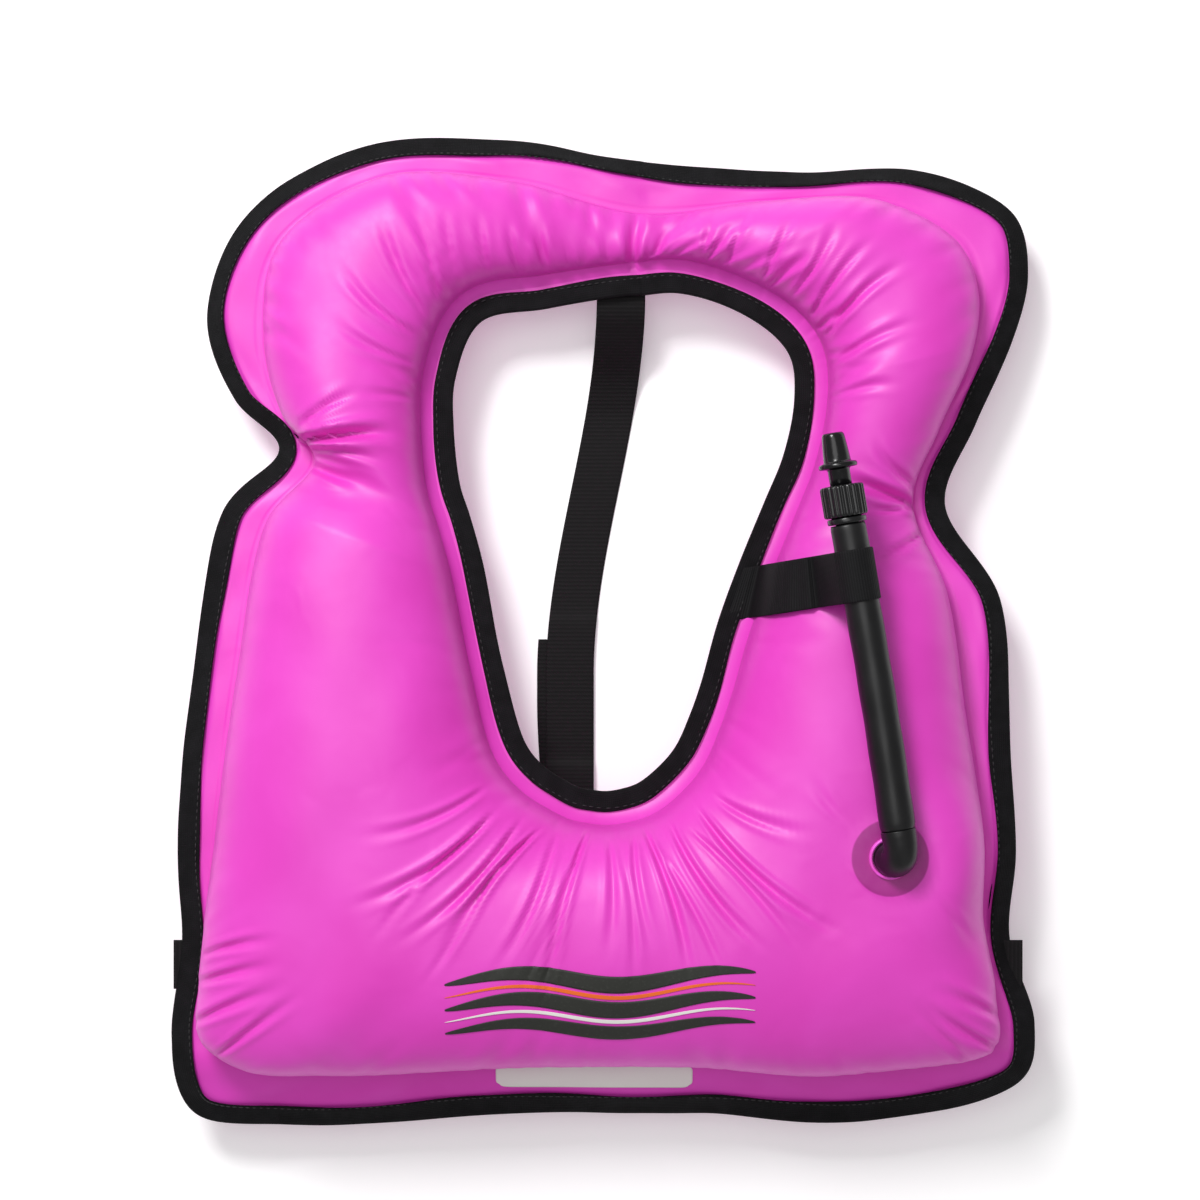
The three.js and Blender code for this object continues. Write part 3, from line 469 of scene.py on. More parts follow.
def coated_nylon(name, with_port):
    """Pink coated nylon: a fine plain weave under a soft gloss, crushed into faint creases, with broad soft
    patches of a slightly deeper colour. On the front, the valve's disc shows through from inside."""
    material, tree, shader = new_material(name, (0.9, 0.27, 0.775), 0.42)
    place = place_of(tree)
    crush = node(tree, "TexNoise", Vector=place, Scale=42.0, Detail=5.0, Roughness=0.55, Distortion=0.9)
    crush.noise_type = "RIDGED_MULTIFRACTAL"
    soft = node(tree, "TexNoise", Vector=place, Scale=16.0, Detail=3.0, Roughness=0.5, Distortion=0.4)
    fine = node(tree, "TexNoise", Vector=place, Scale=190.0, Detail=3.0, Roughness=0.6)
    warp, weft = (node(tree, "TexWave", {"bands_direction": way}, Vector=place, Scale=620.0, Distortion=0.6,
                       Detail=1.0) for way in "XY")
    weave = node(tree, "Math", {"operation": "MULTIPLY"}, i0=warp.outputs["Fac"], i1=weft.outputs["Fac"])
    patches = ramp(tree, soft.outputs["Fac"], 0.25, 0.75)
    tint = mixed(tree, patches, (0.888, 0.24, 0.752), (0.912, 0.28, 0.79))
    if with_port:
        centred = node(tree, "Mapping", Vector=place, Location=(-port[0] / 1000, -port[1] / 1000, 0),
                       Scale=(1, 1, 0))
        off = node(tree, "VectorMath", {"operation": "LENGTH"}, i0=centred.outputs[0]).outputs["Value"]
        disc = ramp(tree, off, 0.0199, 0.0188)
        tint = mixed(tree, disc, tint, (0.66, 0.13, 0.54))
    tree.links.new(tint, shader.inputs["Base Color"])
    gloss_between(tree, shader, fine.outputs["Fac"], 0.36, 0.5)
    shader.inputs["Sheen Weight"].default_value = 0.05
    shader.inputs["Sheen Roughness"].default_value = 0.4
    relief(tree, shader, (soft.outputs["Fac"], 0.16, 0.0016), (crush.outputs["Fac"], 0.34, 0.0008),
           (fine.outputs["Fac"], 0.16, 0.0002), (weave.outputs[0], 0.2, 0.00008))
    return material


def make_panel(name, side, material, replaced):
    """A panel as a closed shell: its outer face, and a plain inner face a little way inside it."""
    outer = panel_surface(side)
    keep = np.linspace(0, len(outer) - 1, 16).round().astype(int)
    inner = outer[keep][::-1].copy()
    belly = smooth((np.abs(outer[keep][::-1][..., 2] - seam_height(inner[..., 1])) - 2) / 12)
    inner[..., 2] -= side * (0.35 + 6 * belly)
    shell = np.concatenate([outer, inner])
    piece = make_piece(name, shell, grid_faces(len(shell), columns, wrap_rows=True), material,
                       "vest")
    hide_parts(replaced)
    return piece, outer


front_fabric = coated_nylon("coated_nylon_front", True)
back_fabric = coated_nylon("coated_nylon_back", False)
front_panel, front_outer = make_panel("front_fabric_panel", 1, front_fabric, "front_panel")
make_panel("back_fabric_panel", -1, back_fabric, "back_panel")

# ---- Binding tapes ----
# A folded woven tape, sewn through with one row of stitches, covers the raw edges of the neck hole and of
# the outside. It ripples a little where the fabric is gathered.


def woven_tape(name, color):
    """Dull woven tape: fine ribs across it from its own UV, with a dry, slightly mottled surface."""
    material, tree, shader = new_material(name, color, 0.82)
    uv = node(tree, "UVMap").outputs[0]
    ribs = node(tree, "TexWave", {"bands_direction": "X"}, Vector=uv, Scale=0.35, Distortion=0.4, Detail=1.0)
    cross = node(tree, "TexWave", {"bands_direction": "Y"}, Vector=uv, Scale=0.28, Distortion=0.3, Detail=1.0)
    mottle = node(tree, "TexNoise", Vector=place_of(tree), Scale=120.0, Detail=4.0)
    weave = node(tree, "Math", {"operation": "MULTIPLY"}, i0=ribs.outputs["Fac"], i1=cross.outputs["Fac"])
    lighter = tuple(min(1, c * 1.35 + 0.015) for c in color)
    tree.links.new(mixed(tree, ramp(tree, mottle.outputs["Fac"], 0.3, 0.75), color, lighter),
                   shader.inputs["Base Color"])
    shader.inputs["Specular IOR Level"].default_value = 0.16
    relief(tree, shader, (weave.outputs[0], 0.7, 0.0003))
    return material


def lay_uv(piece, u, v):
    """Stores each point's two surface coordinates, in millimetres, as the piece's UV map."""
    layer = piece.data.uv_layers.new(name="UVMap")
    corner = np.empty(len(piece.data.loops), np.int32)
    piece.data.loops.foreach_get("vertex_index", corner)
    pairs = np.stack([u.ravel()[corner], v.ravel()[corner]], axis=1)
    layer.data.foreach_set("uv", pairs.astype(np.float32).ravel())


# half of the tape's section: distance from its fold, and height over the weld plane, out and back inside
tape_section = np.array([
    [0, 1.15], [0.35, 1.95], [1.2, 2.2], [3, 2.12], [6, 2.0], [9, 2.05], [11, 2.1], [12.1, 1.9], [12.5, 1.5],
    [12.2, 1.1], [11, 0.95], [6, 0.9], [1.2, 0.75],
])


def folded_tape(name, line, inwards, width, replaced, slope):
    """The tape's flattened U section, mirrored below the weld plane, carried along a raw edge and turned down
    by the rim's slope."""
    run = arc_length(line)
    half = tape_section * [width / 12.5, 1]
    section = np.concatenate([half, half[::-1] * [1, -1]])
    squeeze = 1 + 0.06 * np.sin(run / 7.3 + 1.5 * np.sin(run / 31))
    ripple = 0.3 * np.sin(run / 8.9 + 2 * np.sin(run / 43))
    sway = 0.35 * np.sin(run / 17 + 1.2 * np.sin(run / 53))
    square = across(line, inwards)
    reach = section[:, 0][:, None] * (1 + 0.03 * np.sin(run / 11))
    wall = section[:, 1][:, None] * squeeze
    plan = line + square * (reach * np.cos(slope) + sway - wall * np.sin(slope))[..., None]
    height = seam_height(plan[..., 1]) + wall * np.cos(slope) + ripple + (reach - width) * np.sin(slope)
    tape = make_piece(name, np.concatenate([plan, height[..., None]], axis=2),
                      grid_faces(len(section), len(line), wrap_rows=True), tape_black, "vest")
    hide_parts(replaced)
    girth = np.concatenate([[0], np.cumsum(np.linalg.norm(np.diff(section, axis=0), axis=1))])
    lay_uv(tape, np.broadcast_to(run, height.shape), np.broadcast_to(girth[:, None], height.shape))
    return square


def stitch_row(name, line, square, inset, above, length, pitch, material, drop):
    """Short raised thread loops in a row at an even pitch beside a line: each is a six-sided bead along the
    row that dips into the tape at both ends. Drop is the change of height of the tape along the line."""
    run = arc_length(line)
    total = run[-1] + np.linalg.norm(line[0] - line[-1])
    places = np.arange(0, total, pitch)
    closed_run = np.append(run, total)
    at = np.stack([np.interp(places, closed_run, np.append(c, c[0])) for c in (line + square * inset).T], 1)
    ahead = np.roll(at, -1, axis=0) - np.roll(at, 1, axis=0)
    ahead /= np.linalg.norm(ahead, axis=1, keepdims=True)
    side_way = np.stack([-ahead[:, 1], ahead[:, 0]], 1)
    steps = np.linspace(-1, 1, 6)
    girth = np.linspace(0, 2 * math.pi, 6, endpoint=False)
    thick = 0.34 * np.sqrt(np.clip(1.02 - steps**2, 0, 1))
    plan = (at[:, None, None] + ahead[:, None, None] * (steps * length / 2)[:, None, None]
            + side_way[:, None, None] * (thick[:, None] * np.cos(girth))[..., None])
    bow = above + 0.12 - 0.3 * steps[:, None] ** 2
    rise = np.interp(places, run, drop)[:, None, None] + bow + thick[:, None] * np.sin(girth)
    height = seam_height(plan[..., 1]) + rise
    points = np.concatenate([plan, height[..., None]], axis=3)
    one = grid_faces(6, 6)
    caps = np.array([[0, 1, 2, 3], [0, 3, 4, 5], [30, 33, 32, 31], [30, 35, 34, 33]])
    one = np.concatenate([one, caps])
    faces = (np.arange(len(places)) * 36)[:, None, None] + one
    return make_piece(name, points, faces.reshape(-1, 4), material, "vest")


tape_black = woven_tape("binding_black", (0.05, 0.048, 0.055))
thread, thread_tree, thread_shader = new_material("sewing_thread", (0.12, 0.12, 0.125), 0.6)
thread_twist = node(thread_tree, "TexNoise", Vector=place_of(thread_tree), Scale=900.0, Detail=2.0)
relief(thread_tree, thread_shader, (thread_twist.outputs["Fac"], 0.4, 0.0001))
outer_square = folded_tape("outer_binding_tape", edge_line, -1, tape_width, "outer_binding", curl)
neck_square = folded_tape("neck_binding_tape", neck_line, 1, 10.5, "neck_binding", 0 * curl)
stitch_inset = 10.4
stitch_row("outer_binding_stitches", edge_line, outer_square * np.cos(curl)[:, None], stitch_inset, 2.3,
           2.6, 3.6, thread, (stitch_inset - tape_width) * np.sin(curl))
stitch_row("neck_binding_stitches", neck_line, neck_square, 8.7, 2.2,
           2.6, 3.6, thread, 0 * curl)

# ---- Printed films ----
# A generic mark of three waves is printed on the lower chest, with a blank white name panel on the flange.
# Both are thin films, so each is laid onto the fabric along the line of sight from above.


def film_on_fabric(name, x, y, faces, material, replaced=None):
    """A flat grid dropped straight down onto the front panel and held just clear of it."""
    well_above = 160.0
    points = np.stack([x, y, np.full_like(x, well_above)], axis=-1)
    film = make_piece(name, points, faces, material, "vest", closed=False)
    drop = film.modifiers.new("drop", "SHRINKWRAP")
    drop.target = front_panel
    drop.wrap_method = "PROJECT"
    drop.use_project_z = True
    drop.use_negative_direction = True
    drop.use_positive_direction = False
    drop.wrap_mode = "ABOVE_SURFACE"
    drop.offset = 0.00022
    graph = bpy.context.evaluated_depsgraph_get()
    laid = bpy.data.meshes.new_from_object(film.evaluated_get(graph))
    film.modifiers.clear()
    film.data = laid
    wall = film.modifiers.new("wall", "SOLIDIFY")
    wall.thickness = 0.00015
    wall.offset = 1.0
    if replaced:
        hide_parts(replaced)


def printed_ink(name, color, roughness):
    """Screen-printed ink: flat colour with fine pinholes and a faint unevenness of gloss."""
    material, tree, shader = new_material(name, color, roughness)
    place = place_of(tree)
    grain = node(tree, "TexNoise", Vector=place, Scale=700.0, Detail=3.0)
    cloud = node(tree, "TexNoise", Vector=place, Scale=45.0, Detail=2.0)
    worn = tuple(c + 0.06 * (1 - c) for c in color)
    tree.links.new(mixed(tree, ramp(tree, grain.outputs["Fac"], 0.55, 0.75), color, worn),
                   shader.inputs["Base Color"])
    gloss_between(tree, shader, cloud.outputs["Fac"], roughness - 0.1, roughness + 0.1)
    relief(tree, shader, (grain.outputs["Fac"], 0.3, 0.0001))
    return material


def wave_stripe(left, right, middle, swing, thickness, rise):
    """A band whose centre line is one and a half sine waves and whose ends taper to points."""
    a = np.linspace(0, 1, 260)[None, :]
    b = np.linspace(-0.5, 0.5, 9)[:, None]
    x = left + (right - left) * a + 0 * b
    centre = middle + swing * np.sin(2 * math.pi * (1.5 * a - 0.1)) + rise * a
    y = centre + b * thickness * (0.06 + np.sin(math.pi * a) ** 0.6)
    return x + to_frame[0], y + to_frame[1]


ink_black = printed_ink("print_black", (0.14, 0.145, 0.125), 0.6)
ink_orange = printed_ink("print_orange", (0.93, 0.42, 0.12), 0.6)
ink_white = printed_ink("print_white", (0.93, 0.92, 0.9), 0.55)
stripe_faces = grid_faces(9, 260, wrap_cols=False)
for count, (middle, swing, thickness, ink) in enumerate((
    (-191, 3.4, 8.2, ink_black), (-204, 3.4, 8.2, ink_black), (-216.5, 3.0, 6.8, ink_black),
    (-197.6, 3.4, 2.0, ink_orange), (-210.4, 3.2, 1.8, ink_white),
)):
    stripe_x, stripe_y = wave_stripe(-78, 78, middle, swing, thickness, 2.5)
    film_on_fabric(f"chest_wave_{count + 1}", stripe_x, stripe_y, stripe_faces, ink,
                   "chest_print" if count == 0 else None)

label_half = 51
label_u, label_v = np.meshgrid(np.linspace(-1, 1, 90), np.linspace(-1, 1, 16))
label_round = (1 - np.abs(label_v) ** 8 * 0.03)
label_x = -3 + label_half * label_u * label_round + to_frame[0]
label_tilt = 0.006 * (label_u * label_half)
label_y = -246.5 + 6.6 * label_v * (1 - np.abs(label_u) ** 40 * 0.25) - label_tilt + to_frame[1]
film_on_fabric("blank_name_panel", label_x, label_y, grid_faces(16, 90, wrap_cols=False), ink_white,
               "name_box")

# ---- Inflator port ----
# A moulded vinyl fitting is welded to the inside of the front panel, so its disc shows as a darker round
# through the fabric. Its collar comes out through the panel and grips the elbow.


def turned_surface(profile, sides, wobble=None):
    """A profile of radius and height turned round the upright axis. Wobble changes the radius by angle."""
    profile = np.asarray(profile, float)
    angle = np.linspace(0, 2 * math.pi, sides, endpoint=False)
    radius = profile[:, :1] * np.ones(sides)
    if wobble is not None:
        radius = radius + wobble(profile, angle)
    return np.stack([radius * np.cos(angle), radius * np.sin(angle), profile[:, 1:] * np.ones(sides)], axis=2)


def moulded(name, color, roughness, grain_scale=900.0, strength=0.25, coat=0.0):
    """Moulded plastic or rubber: near-flat colour, slight flow mottling, fine grain, soft rubbed patches."""
    material, tree, shader = new_material(name, color, roughness)
    place = place_of(tree)
    flow = node(tree, "TexNoise", Vector=place, Scale=60.0, Detail=3.0, Distortion=0.5)
    grain = node(tree, "TexNoise", Vector=place, Scale=grain_scale, Detail=2.0)
    rubbed = tuple(min(1.0, c * 1.2 + 0.01) for c in color)
    tree.links.new(mixed(tree, ramp(tree, flow.outputs["Fac"], 0.4, 0.8), color, rubbed),
                   shader.inputs["Base Color"])
    gloss_between(tree, shader, flow.outputs["Fac"], roughness - 0.08, roughness + 0.1)
    shader.inputs["Coat Weight"].default_value = coat
    shader.inputs["Specular IOR Level"].default_value = 0.4
    shader.inputs["Coat Roughness"].default_value = 0.25
    relief(tree, shader, (grain.outputs["Fac"], strength, 0.00012))
    return material


port_vinyl = moulded("port_vinyl", (0.95, 0.33, 0.82), 0.3, coat=0.2)
collar_profile = [
    [9.1, -2], [9.1, 2.6], [9.4, 3.1], [10.0, 3.2], [10.5, 2.9], [10.7, 2.2], [10.8, 1.2], [11.4, 0.7],
    [12.6, 0.6], [13.0, 0.1], [13.0, -2],
]
collar_points = turned_surface(collar_profile, 96) + [*port, port_face]
port_collar = make_piece("port_collar", collar_points, grid_faces(len(collar_profile), 96, wrap_rows=True),
                         port_vinyl, "vest")
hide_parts("valve_flange")

# ---- Inflator hose ----
# A soft rubber elbow is glued into the port and plugs into a smooth rubber hose that lies up the chest. The
# hose lifts off the chest from its lower end, so it bends over its first part.
hose_radius = 9
hose_lean = math.radians(9.4)
hose_way = np.array([-math.sin(hose_lean), math.cos(hose_lean), 0])
hose_side = np.array([math.cos(hose_lean), math.sin(hose_lean), 0])
hose_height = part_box("inflation_hose")[1].z * 1000 - hose_radius
hose_run = 154
elbow_rise = hose_height - port_face
elbow_steps = np.array([
    [0, 0, -3], [0, 0, 0], [0.3, -0.1, 0.2 * elbow_rise], [2.2, -0.5, 0.5 * elbow_rise],
    [3.9, 2.2, 0.82 * elbow_rise], [4, 7, 0.97 * elbow_rise], [3.2, 12, elbow_rise],
]) + [*port, port_face]
elbow_mouth = elbow_steps[-1] + hose_way * 3
hose_start = elbow_mouth + hose_way * 0.3


def open_curve(points, count):
    """Smooth curve through the points, ends held, as closed_curve but open, at count even steps."""
    points = np.asarray(points, float)
    padded = np.concatenate([[2 * points[0] - points[1]], points, [2 * points[-1] - points[-2]]])
    u = np.linspace(0, len(points) - 1, count)
    span = np.minimum(u.astype(int), len(points) - 2)
    t = (u - span)[:, None]
    p0, p1, p2, p3 = (padded[span + k] for k in range(4))
    return 0.5 * (2 * p1 + (p2 - p0) * t + (2 * p0 - 5 * p1 + 4 * p2 - p3) * t**2
                  + (3 * (p1 - p2) + p3 - p0) * t**3)


def swept_tube(route, radii, sides):
    """Circles of given radii set square to a route that stays near the upright plane of the hose."""
    along = np.gradient(route, axis=0)
    along /= np.linalg.norm(along, axis=1, keepdims=True)
    side_way = hose_side - along * (along @ hose_side)[:, None]
    side_way /= np.linalg.norm(side_way, axis=1, keepdims=True)
    up_way = np.cross(side_way, along)
    angle = np.linspace(0, 2 * math.pi, sides, endpoint=False)[:, None]
    ring = side_way[:, None] * np.cos(angle) + up_way[:, None] * np.sin(angle)
    return route[:, None] + ring * np.asarray(radii)[:, None, None]


hose_black = moulded("hose_rubber_black", (0.035, 0.034, 0.04), 0.4, 500.0, 0.2, coat=0.1)
elbow_route = open_curve(np.concatenate([elbow_steps, [elbow_mouth]]), 60)
elbow_share = np.linspace(0, 1, 60)
elbow_radii = 8.6 + 0.3 * smooth((elbow_share - 0.7) / 0.2)
elbow_points = swept_tube(elbow_route, elbow_radii, 48)
elbow_lip = elbow_route[-1] + (elbow_points[-1] - elbow_route[-1]) * 0.93 + hose_way * 0.2
elbow_end = np.stack([elbow_lip, np.repeat([elbow_route[-1] + hose_way * 0.2], 48, axis=0)])
elbow_foot = np.repeat(elbow_route[:1, None], 48, axis=1)
elbow_shell = np.concatenate([elbow_foot, elbow_points, elbow_end])
elbow = make_piece("hose_elbow_moulding", elbow_shell, grid_faces(len(elbow_shell), 48), hose_black,
                   "vest")
merge_doubles(elbow)
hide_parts("hose_elbow")

hose_share = np.linspace(0, 1, 120)
hose_route = hose_start + hose_way * (hose_run * hose_share)[:, None]
hose_route = hose_route + hose_side * (0.9 * np.sin(math.pi * hose_share))[:, None]
hose_radii = hose_radius + 0.12 * np.sin(hose_share * 31) - 0.5 * np.exp(-(hose_share / 0.012) ** 2)
hose_radii = hose_radii - 0.5 * np.exp(-((1 - hose_share) / 0.008) ** 2)
hose_points = swept_tube(hose_route, hose_radii, 64)
hose_bottom = np.repeat(hose_route[:1, None], 64, axis=1)
hose_top = np.repeat(hose_route[-1:, None], 64, axis=1)
hose_shell = np.concatenate([hose_bottom, hose_points, hose_top])
hose = make_piece("inflation_hose_tube", hose_shell, grid_faces(len(hose_shell), 64), hose_black,
                  None)
merge_doubles(hose)
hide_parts("inflation_hose")
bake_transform(hose)

# ---- Oral valve ----
# At the top of the hose is a moulded valve: a barbed body with a shoulder, a fluted lock ring that is
# screwed up to hold the valve shut, and a mouthpiece that is pressed in against a spring to blow or to let
# air out.
shoulder = 3.4
valve_foot = hose_start + hose_way * (hose_run + 0.3 + shoulder)
valve_axes = np.stack([-hose_side, [0, 0, 1], hose_way])
ring_radius = 11
ring_length = 15.8
flute_count = 24


def along_valve(points):
    """Turns points worked out round the upright axis so that up runs along the hose, from the ring's foot."""
    return points @ valve_axes + valve_foot


def flutes(profile, angle):
    """Rounded finger grooves down the side of the ring, fading out at both of its ends."""
    on_side = smooth((profile[:, :1] - 10.3) / 0.4)
    return -0.55 * on_side * (0.5 - 0.5 * np.cos(angle * flute_count)) ** 1.6


valve_black = moulded("valve_plastic_black", (0.03, 0.03, 0.036), 0.24, coat=0.25)
mouth_black = moulded("mouthpiece_plastic_black", (0.04, 0.039, 0.046), 0.22, coat=0.15)
valve_profile = [
    [0, -12], [5.9, -12], [6.0, -3.5], [9.2, -3.4], [9.7, -3.1], [9.8, -2.4], [9.8, -1.0], [9.5, -0.5],
    [8.2, -0.35], [7.6, -0.3], [7.6, 10.9], [5.9, 11.0], [5.85, -2.2], [0, -2.3],
]
valve_points = along_valve(turned_surface(valve_profile, 72))
valve = make_piece("valve_body_shoulder", valve_points, grid_faces(len(valve_profile), 72), valve_black,
                   "hose")
merge_doubles(valve)
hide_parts("valve_body")

side_heights = np.linspace(1.2, ring_length - 1.4, 22)
ring_profile = [
    [8.2, 0.1], [9.6, 0.0], [10.3, 0.2], [10.8, 0.6],
    *[[ring_radius - 0.02, h] for h in side_heights],
    [10.8, ring_length - 0.8], [10.3, ring_length - 0.25], [9.4, ring_length], [7.2, ring_length],
    [6.3, ring_length - 0.1], [5.9, ring_length - 0.5], [5.9, ring_length - 2],
    [8.15, ring_length - 2.1], [8.15, 0.4],
]
ring_points = along_valve(turned_surface(ring_profile, 288, flutes))
ring = make_piece("fluted_lock_ring", ring_points, grid_faces(len(ring_profile), 288, wrap_rows=True),
                  valve_black, "ring")
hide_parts("lock_ring")

stem_radius = 5.5
lip_foot = ring_length + 8.5
lip_height = 2.8
lip_radius = 9.7
mouth_profile = [
    [2.6, 4], [stem_radius, 4], [stem_radius, lip_foot - 1.2], [5.8, lip_foot - 0.4], [6.6, lip_foot],
    [9.0, lip_foot + 0.1], [9.55, lip_foot + 0.5], [lip_radius, lip_foot + 1.3], [9.6, lip_foot + 2.1],
    [9.1, lip_foot + 2.65], [8.0, lip_foot + lip_height], [7.1, lip_foot + 3.1], [6.8, lip_foot + 3.8],
    [6.55, lip_foot + 7], [6.2, lip_foot + 11], [5.85, lip_foot + 14.5], [5.6, lip_foot + 16.4],
    [5.2, lip_foot + 17.3], [4.6, lip_foot + 17.75], [3.6, lip_foot + 17.8], [2.9, lip_foot + 17.5],
    [2.6, lip_foot + 16.8],
]
mouth_points = along_valve(turned_surface(mouth_profile, 96))
mouth = make_piece("soft_mouthpiece", mouth_points, grid_faces(len(mouth_profile), 96, wrap_rows=True),
                   mouth_black, "mouthpiece_stem")
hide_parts("mouthpiece")

# ---- Inner valve parts ----
# Two rubber seals, the poppet and the steel return spring sit inside the valve, and keep their CAD shapes.
seal_rubber = moulded("seal_rubber_black", (0.09, 0.09, 0.09), 0.7, 600.0, 0.3)
poppet_grey = moulded("poppet_plastic_grey", (0.55, 0.55, 0.57), 0.45)
spring_steel, spring_tree, spring_shader = new_material("spring_wire", (0.74, 0.74, 0.76), 0.28)
spring_shader.inputs["Metallic"].default_value = 1.0
spring_lines = node(spring_tree, "TexNoise", Vector=place_of(spring_tree), Scale=1400.0, Detail=2.0)
gloss_between(spring_tree, spring_shader, spring_lines.outputs["Fac"], 0.2, 0.42)


def dress(node_name, material):
    """Gives a CAD node's own mesh a finished material."""
    shown = frame["nodes"][node_name]
    for place in shown.material_slots:
        place.material = material


dress("lock_ring_oring", seal_rubber)
dress("stem_oring", seal_rubber)
dress("valve_poppet", poppet_grey)
dress("return_spring", spring_steel)

# ---- Webbing ----
# Ribbed nylon webbing, one inch wide: the collar strap runs from the head end down the back and round the
# waist belt, the belt goes to the buckle's plug, and a short strap holds the socket to the left side.


def ribbed_webbing(name, color, pitch):
    """Woven webbing: cross ribs and a finer herringbone from its own UV, dry, with paler rubbed ridges."""
    material, tree, shader = new_material(name, color, 0.7)
    uv = node(tree, "UVMap").outputs[0]
    ribs = node(tree, "TexWave", {"bands_direction": "X"}, Vector=uv, Scale=0.31416 / pitch, Distortion=0.25,
                Detail=1.0)
    yarn = node(tree, "TexWave", {"bands_direction": "DIAGONAL"}, Vector=uv, Scale=0.45, Distortion=0.3,
                Detail=1.0)
    mottle = node(tree, "TexNoise", Vector=place_of(tree), Scale=300.0, Detail=3.0)
    rib_share = ramp(tree, ribs.outputs["Fac"], 0.35, 0.95)
    pale = tuple(min(1.0, c * 1.7 + 0.035) for c in color)
    shade = node(tree, "Math", {"operation": "MULTIPLY"}, i0=rib_share, i1=mottle.outputs["Fac"])
    tree.links.new(mixed(tree, shade.outputs[0], color, pale), shader.inputs["Base Color"])
    shader.inputs["Specular IOR Level"].default_value = 0.2
    relief(tree, shader, (ribs.outputs["Fac"], 0.5, 0.0003), (yarn.outputs["Fac"], 0.35, 0.00015))
    return material


def strap_points(route, width, thickness, rib_pitch, rib_depth):
    """A flat strap along a route seen from the side: its section, a long bar with round edges, is set square
    to the route at close steps, and its faces rise and fall in cross ribs."""
    coarse = np.asarray(route, float)
    chord = np.concatenate([[0], np.cumsum(np.linalg.norm(np.diff(coarse, axis=0), axis=1))])
    count = max(int(chord[-1] / 0.5), 40)
    dense = open_curve(coarse, 40 * len(coarse))
    run = np.concatenate([[0], np.cumsum(np.linalg.norm(np.diff(dense, axis=0), axis=1))])
    at = np.linspace(0, run[-1], count)
    line = np.stack([np.interp(at, run, dense[:, 0]), np.interp(at, run, dense[:, 1])], axis=1)
    along = np.gradient(line, axis=0)
    along /= np.linalg.norm(along, axis=1, keepdims=True)
    square = np.stack([-along[:, 1], along[:, 0]], axis=1)
    across_share = np.array([-1, -0.985, -0.96, -0.9, -0.5, 0, 0.5, 0.9, 0.96, 0.985, 1])
    bulge = np.sqrt(np.clip(1 - np.clip((np.abs(across_share) - 0.94) / 0.06, 0, 1) ** 2, 0.04, 1))
    top = np.stack([across_share * width / 2, bulge * thickness / 2], axis=1)
    section = np.concatenate([top, top[::-1] * [1, -1]])
    rib = 1 - rib_depth / thickness * (1 - np.abs(np.cos(math.pi * at / rib_pitch)))
    lift = section[:, 1][None, :] * rib[:, None]
    plane = line[:, None] + square[:, None] * lift[..., None]
    sideways = np.broadcast_to(section[:, 0], lift.shape)
    middle = line[[0, -1]][:, None].repeat(len(section), axis=1)
    plane = np.concatenate([middle[:1], plane, middle[1:]])
    sideways = np.concatenate([sideways[:1] * 0, sideways, sideways[-1:] * 0])
    girth = np.concatenate([[0], np.cumsum(np.linalg.norm(np.diff(section, axis=0), axis=1))])
    at = np.concatenate([at[:1], at, at[-1:]])
    run_u = np.broadcast_to(at[:, None], sideways.shape)
    return plane, sideways, run_u, np.broadcast_to(girth, sideways.shape)


def add_strap(name, points, u, v, material, body, replaced):
    """Puts a strap's grid into a piece that keeps the run along it and across it as its UV."""
    strap = make_piece(name, points, grid_faces(points.shape[0], points.shape[1]), material, body)
    lay_uv(strap, u, v)
    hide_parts(replaced)


web_black = ribbed_webbing("webbing_black", (0.04, 0.036, 0.04), 2.1)
web_width = 25.4
web_thick = 1.3
layer = 1.75
ground = web_thick / 2
belt_y = -189
strap_x = -16
neck_top = 158.9
half = web_width / 2


def under_tape(y):
    """Height of a webbing's middle where it is sewn under the lower wall of a binding tape."""
    panel, gap, wall = 0.95, 0.3, 0.9
    return seam_height(y + to_frame[1]) - panel - gap - wall - gap - ground


strap_head = under_tape(neck_top)
slider_y = belt_y + 59
slide = ground + 1.5
belt_go = belt_y + half + 0.5
belt_back = belt_y - half - 0.5
strap_route = [
    [neck_top + 8, strap_head], [neck_top - 7, strap_head - 0.5], [neck_top - 20, strap_head - 7],
    [neck_top - 38, 8], [neck_top - 55, 2], [neck_top - 68, ground], [neck_top - 90, ground], [0, ground],
    [-16, ground + layer], [slider_y + 60, ground + layer], [slider_y + 46, ground + layer],
    [slider_y + 38, slide + layer], [slider_y, slide + layer], [slider_y - 38, slide + layer],
    [belt_go, ground + 2 * layer], [belt_back - 3, ground + 2 * layer],
    [belt_back - 4.6, ground + 1.6 * layer], [belt_back - 5.2, ground + layer],
    [belt_back - 4.6, ground + 0.4 * layer], [belt_back - 3, ground],
    [belt_go, ground], [slider_y - 38, slide], [slider_y, slide], [slider_y + 38, slide],
    [slider_y + 46, ground], [slider_y + 80, ground], [-21, ground],
]
plane, sideways, run_u, run_v = strap_points(strap_route, web_width, web_thick, 2.1, 0.28)
head_x = 11
drift = smooth((neck_top - plane[..., 0]) / (neck_top + 40))
tail_share = np.clip((np.arange(len(plane)) / len(plane) - 0.78) / 0.16, 0, 1)[:, None]
tail_shift = -4.8 * smooth(tail_share)
strap_middle = head_x + (strap_x - head_x) * drift + tail_shift
strap_xyz = np.stack([
    sideways + strap_middle + to_frame[0], plane[..., 0] + to_frame[1], plane[..., 1],
], axis=-1)
add_strap("collar_webbing", strap_xyz, run_u, run_v, web_black, "vest", "collar_strap")

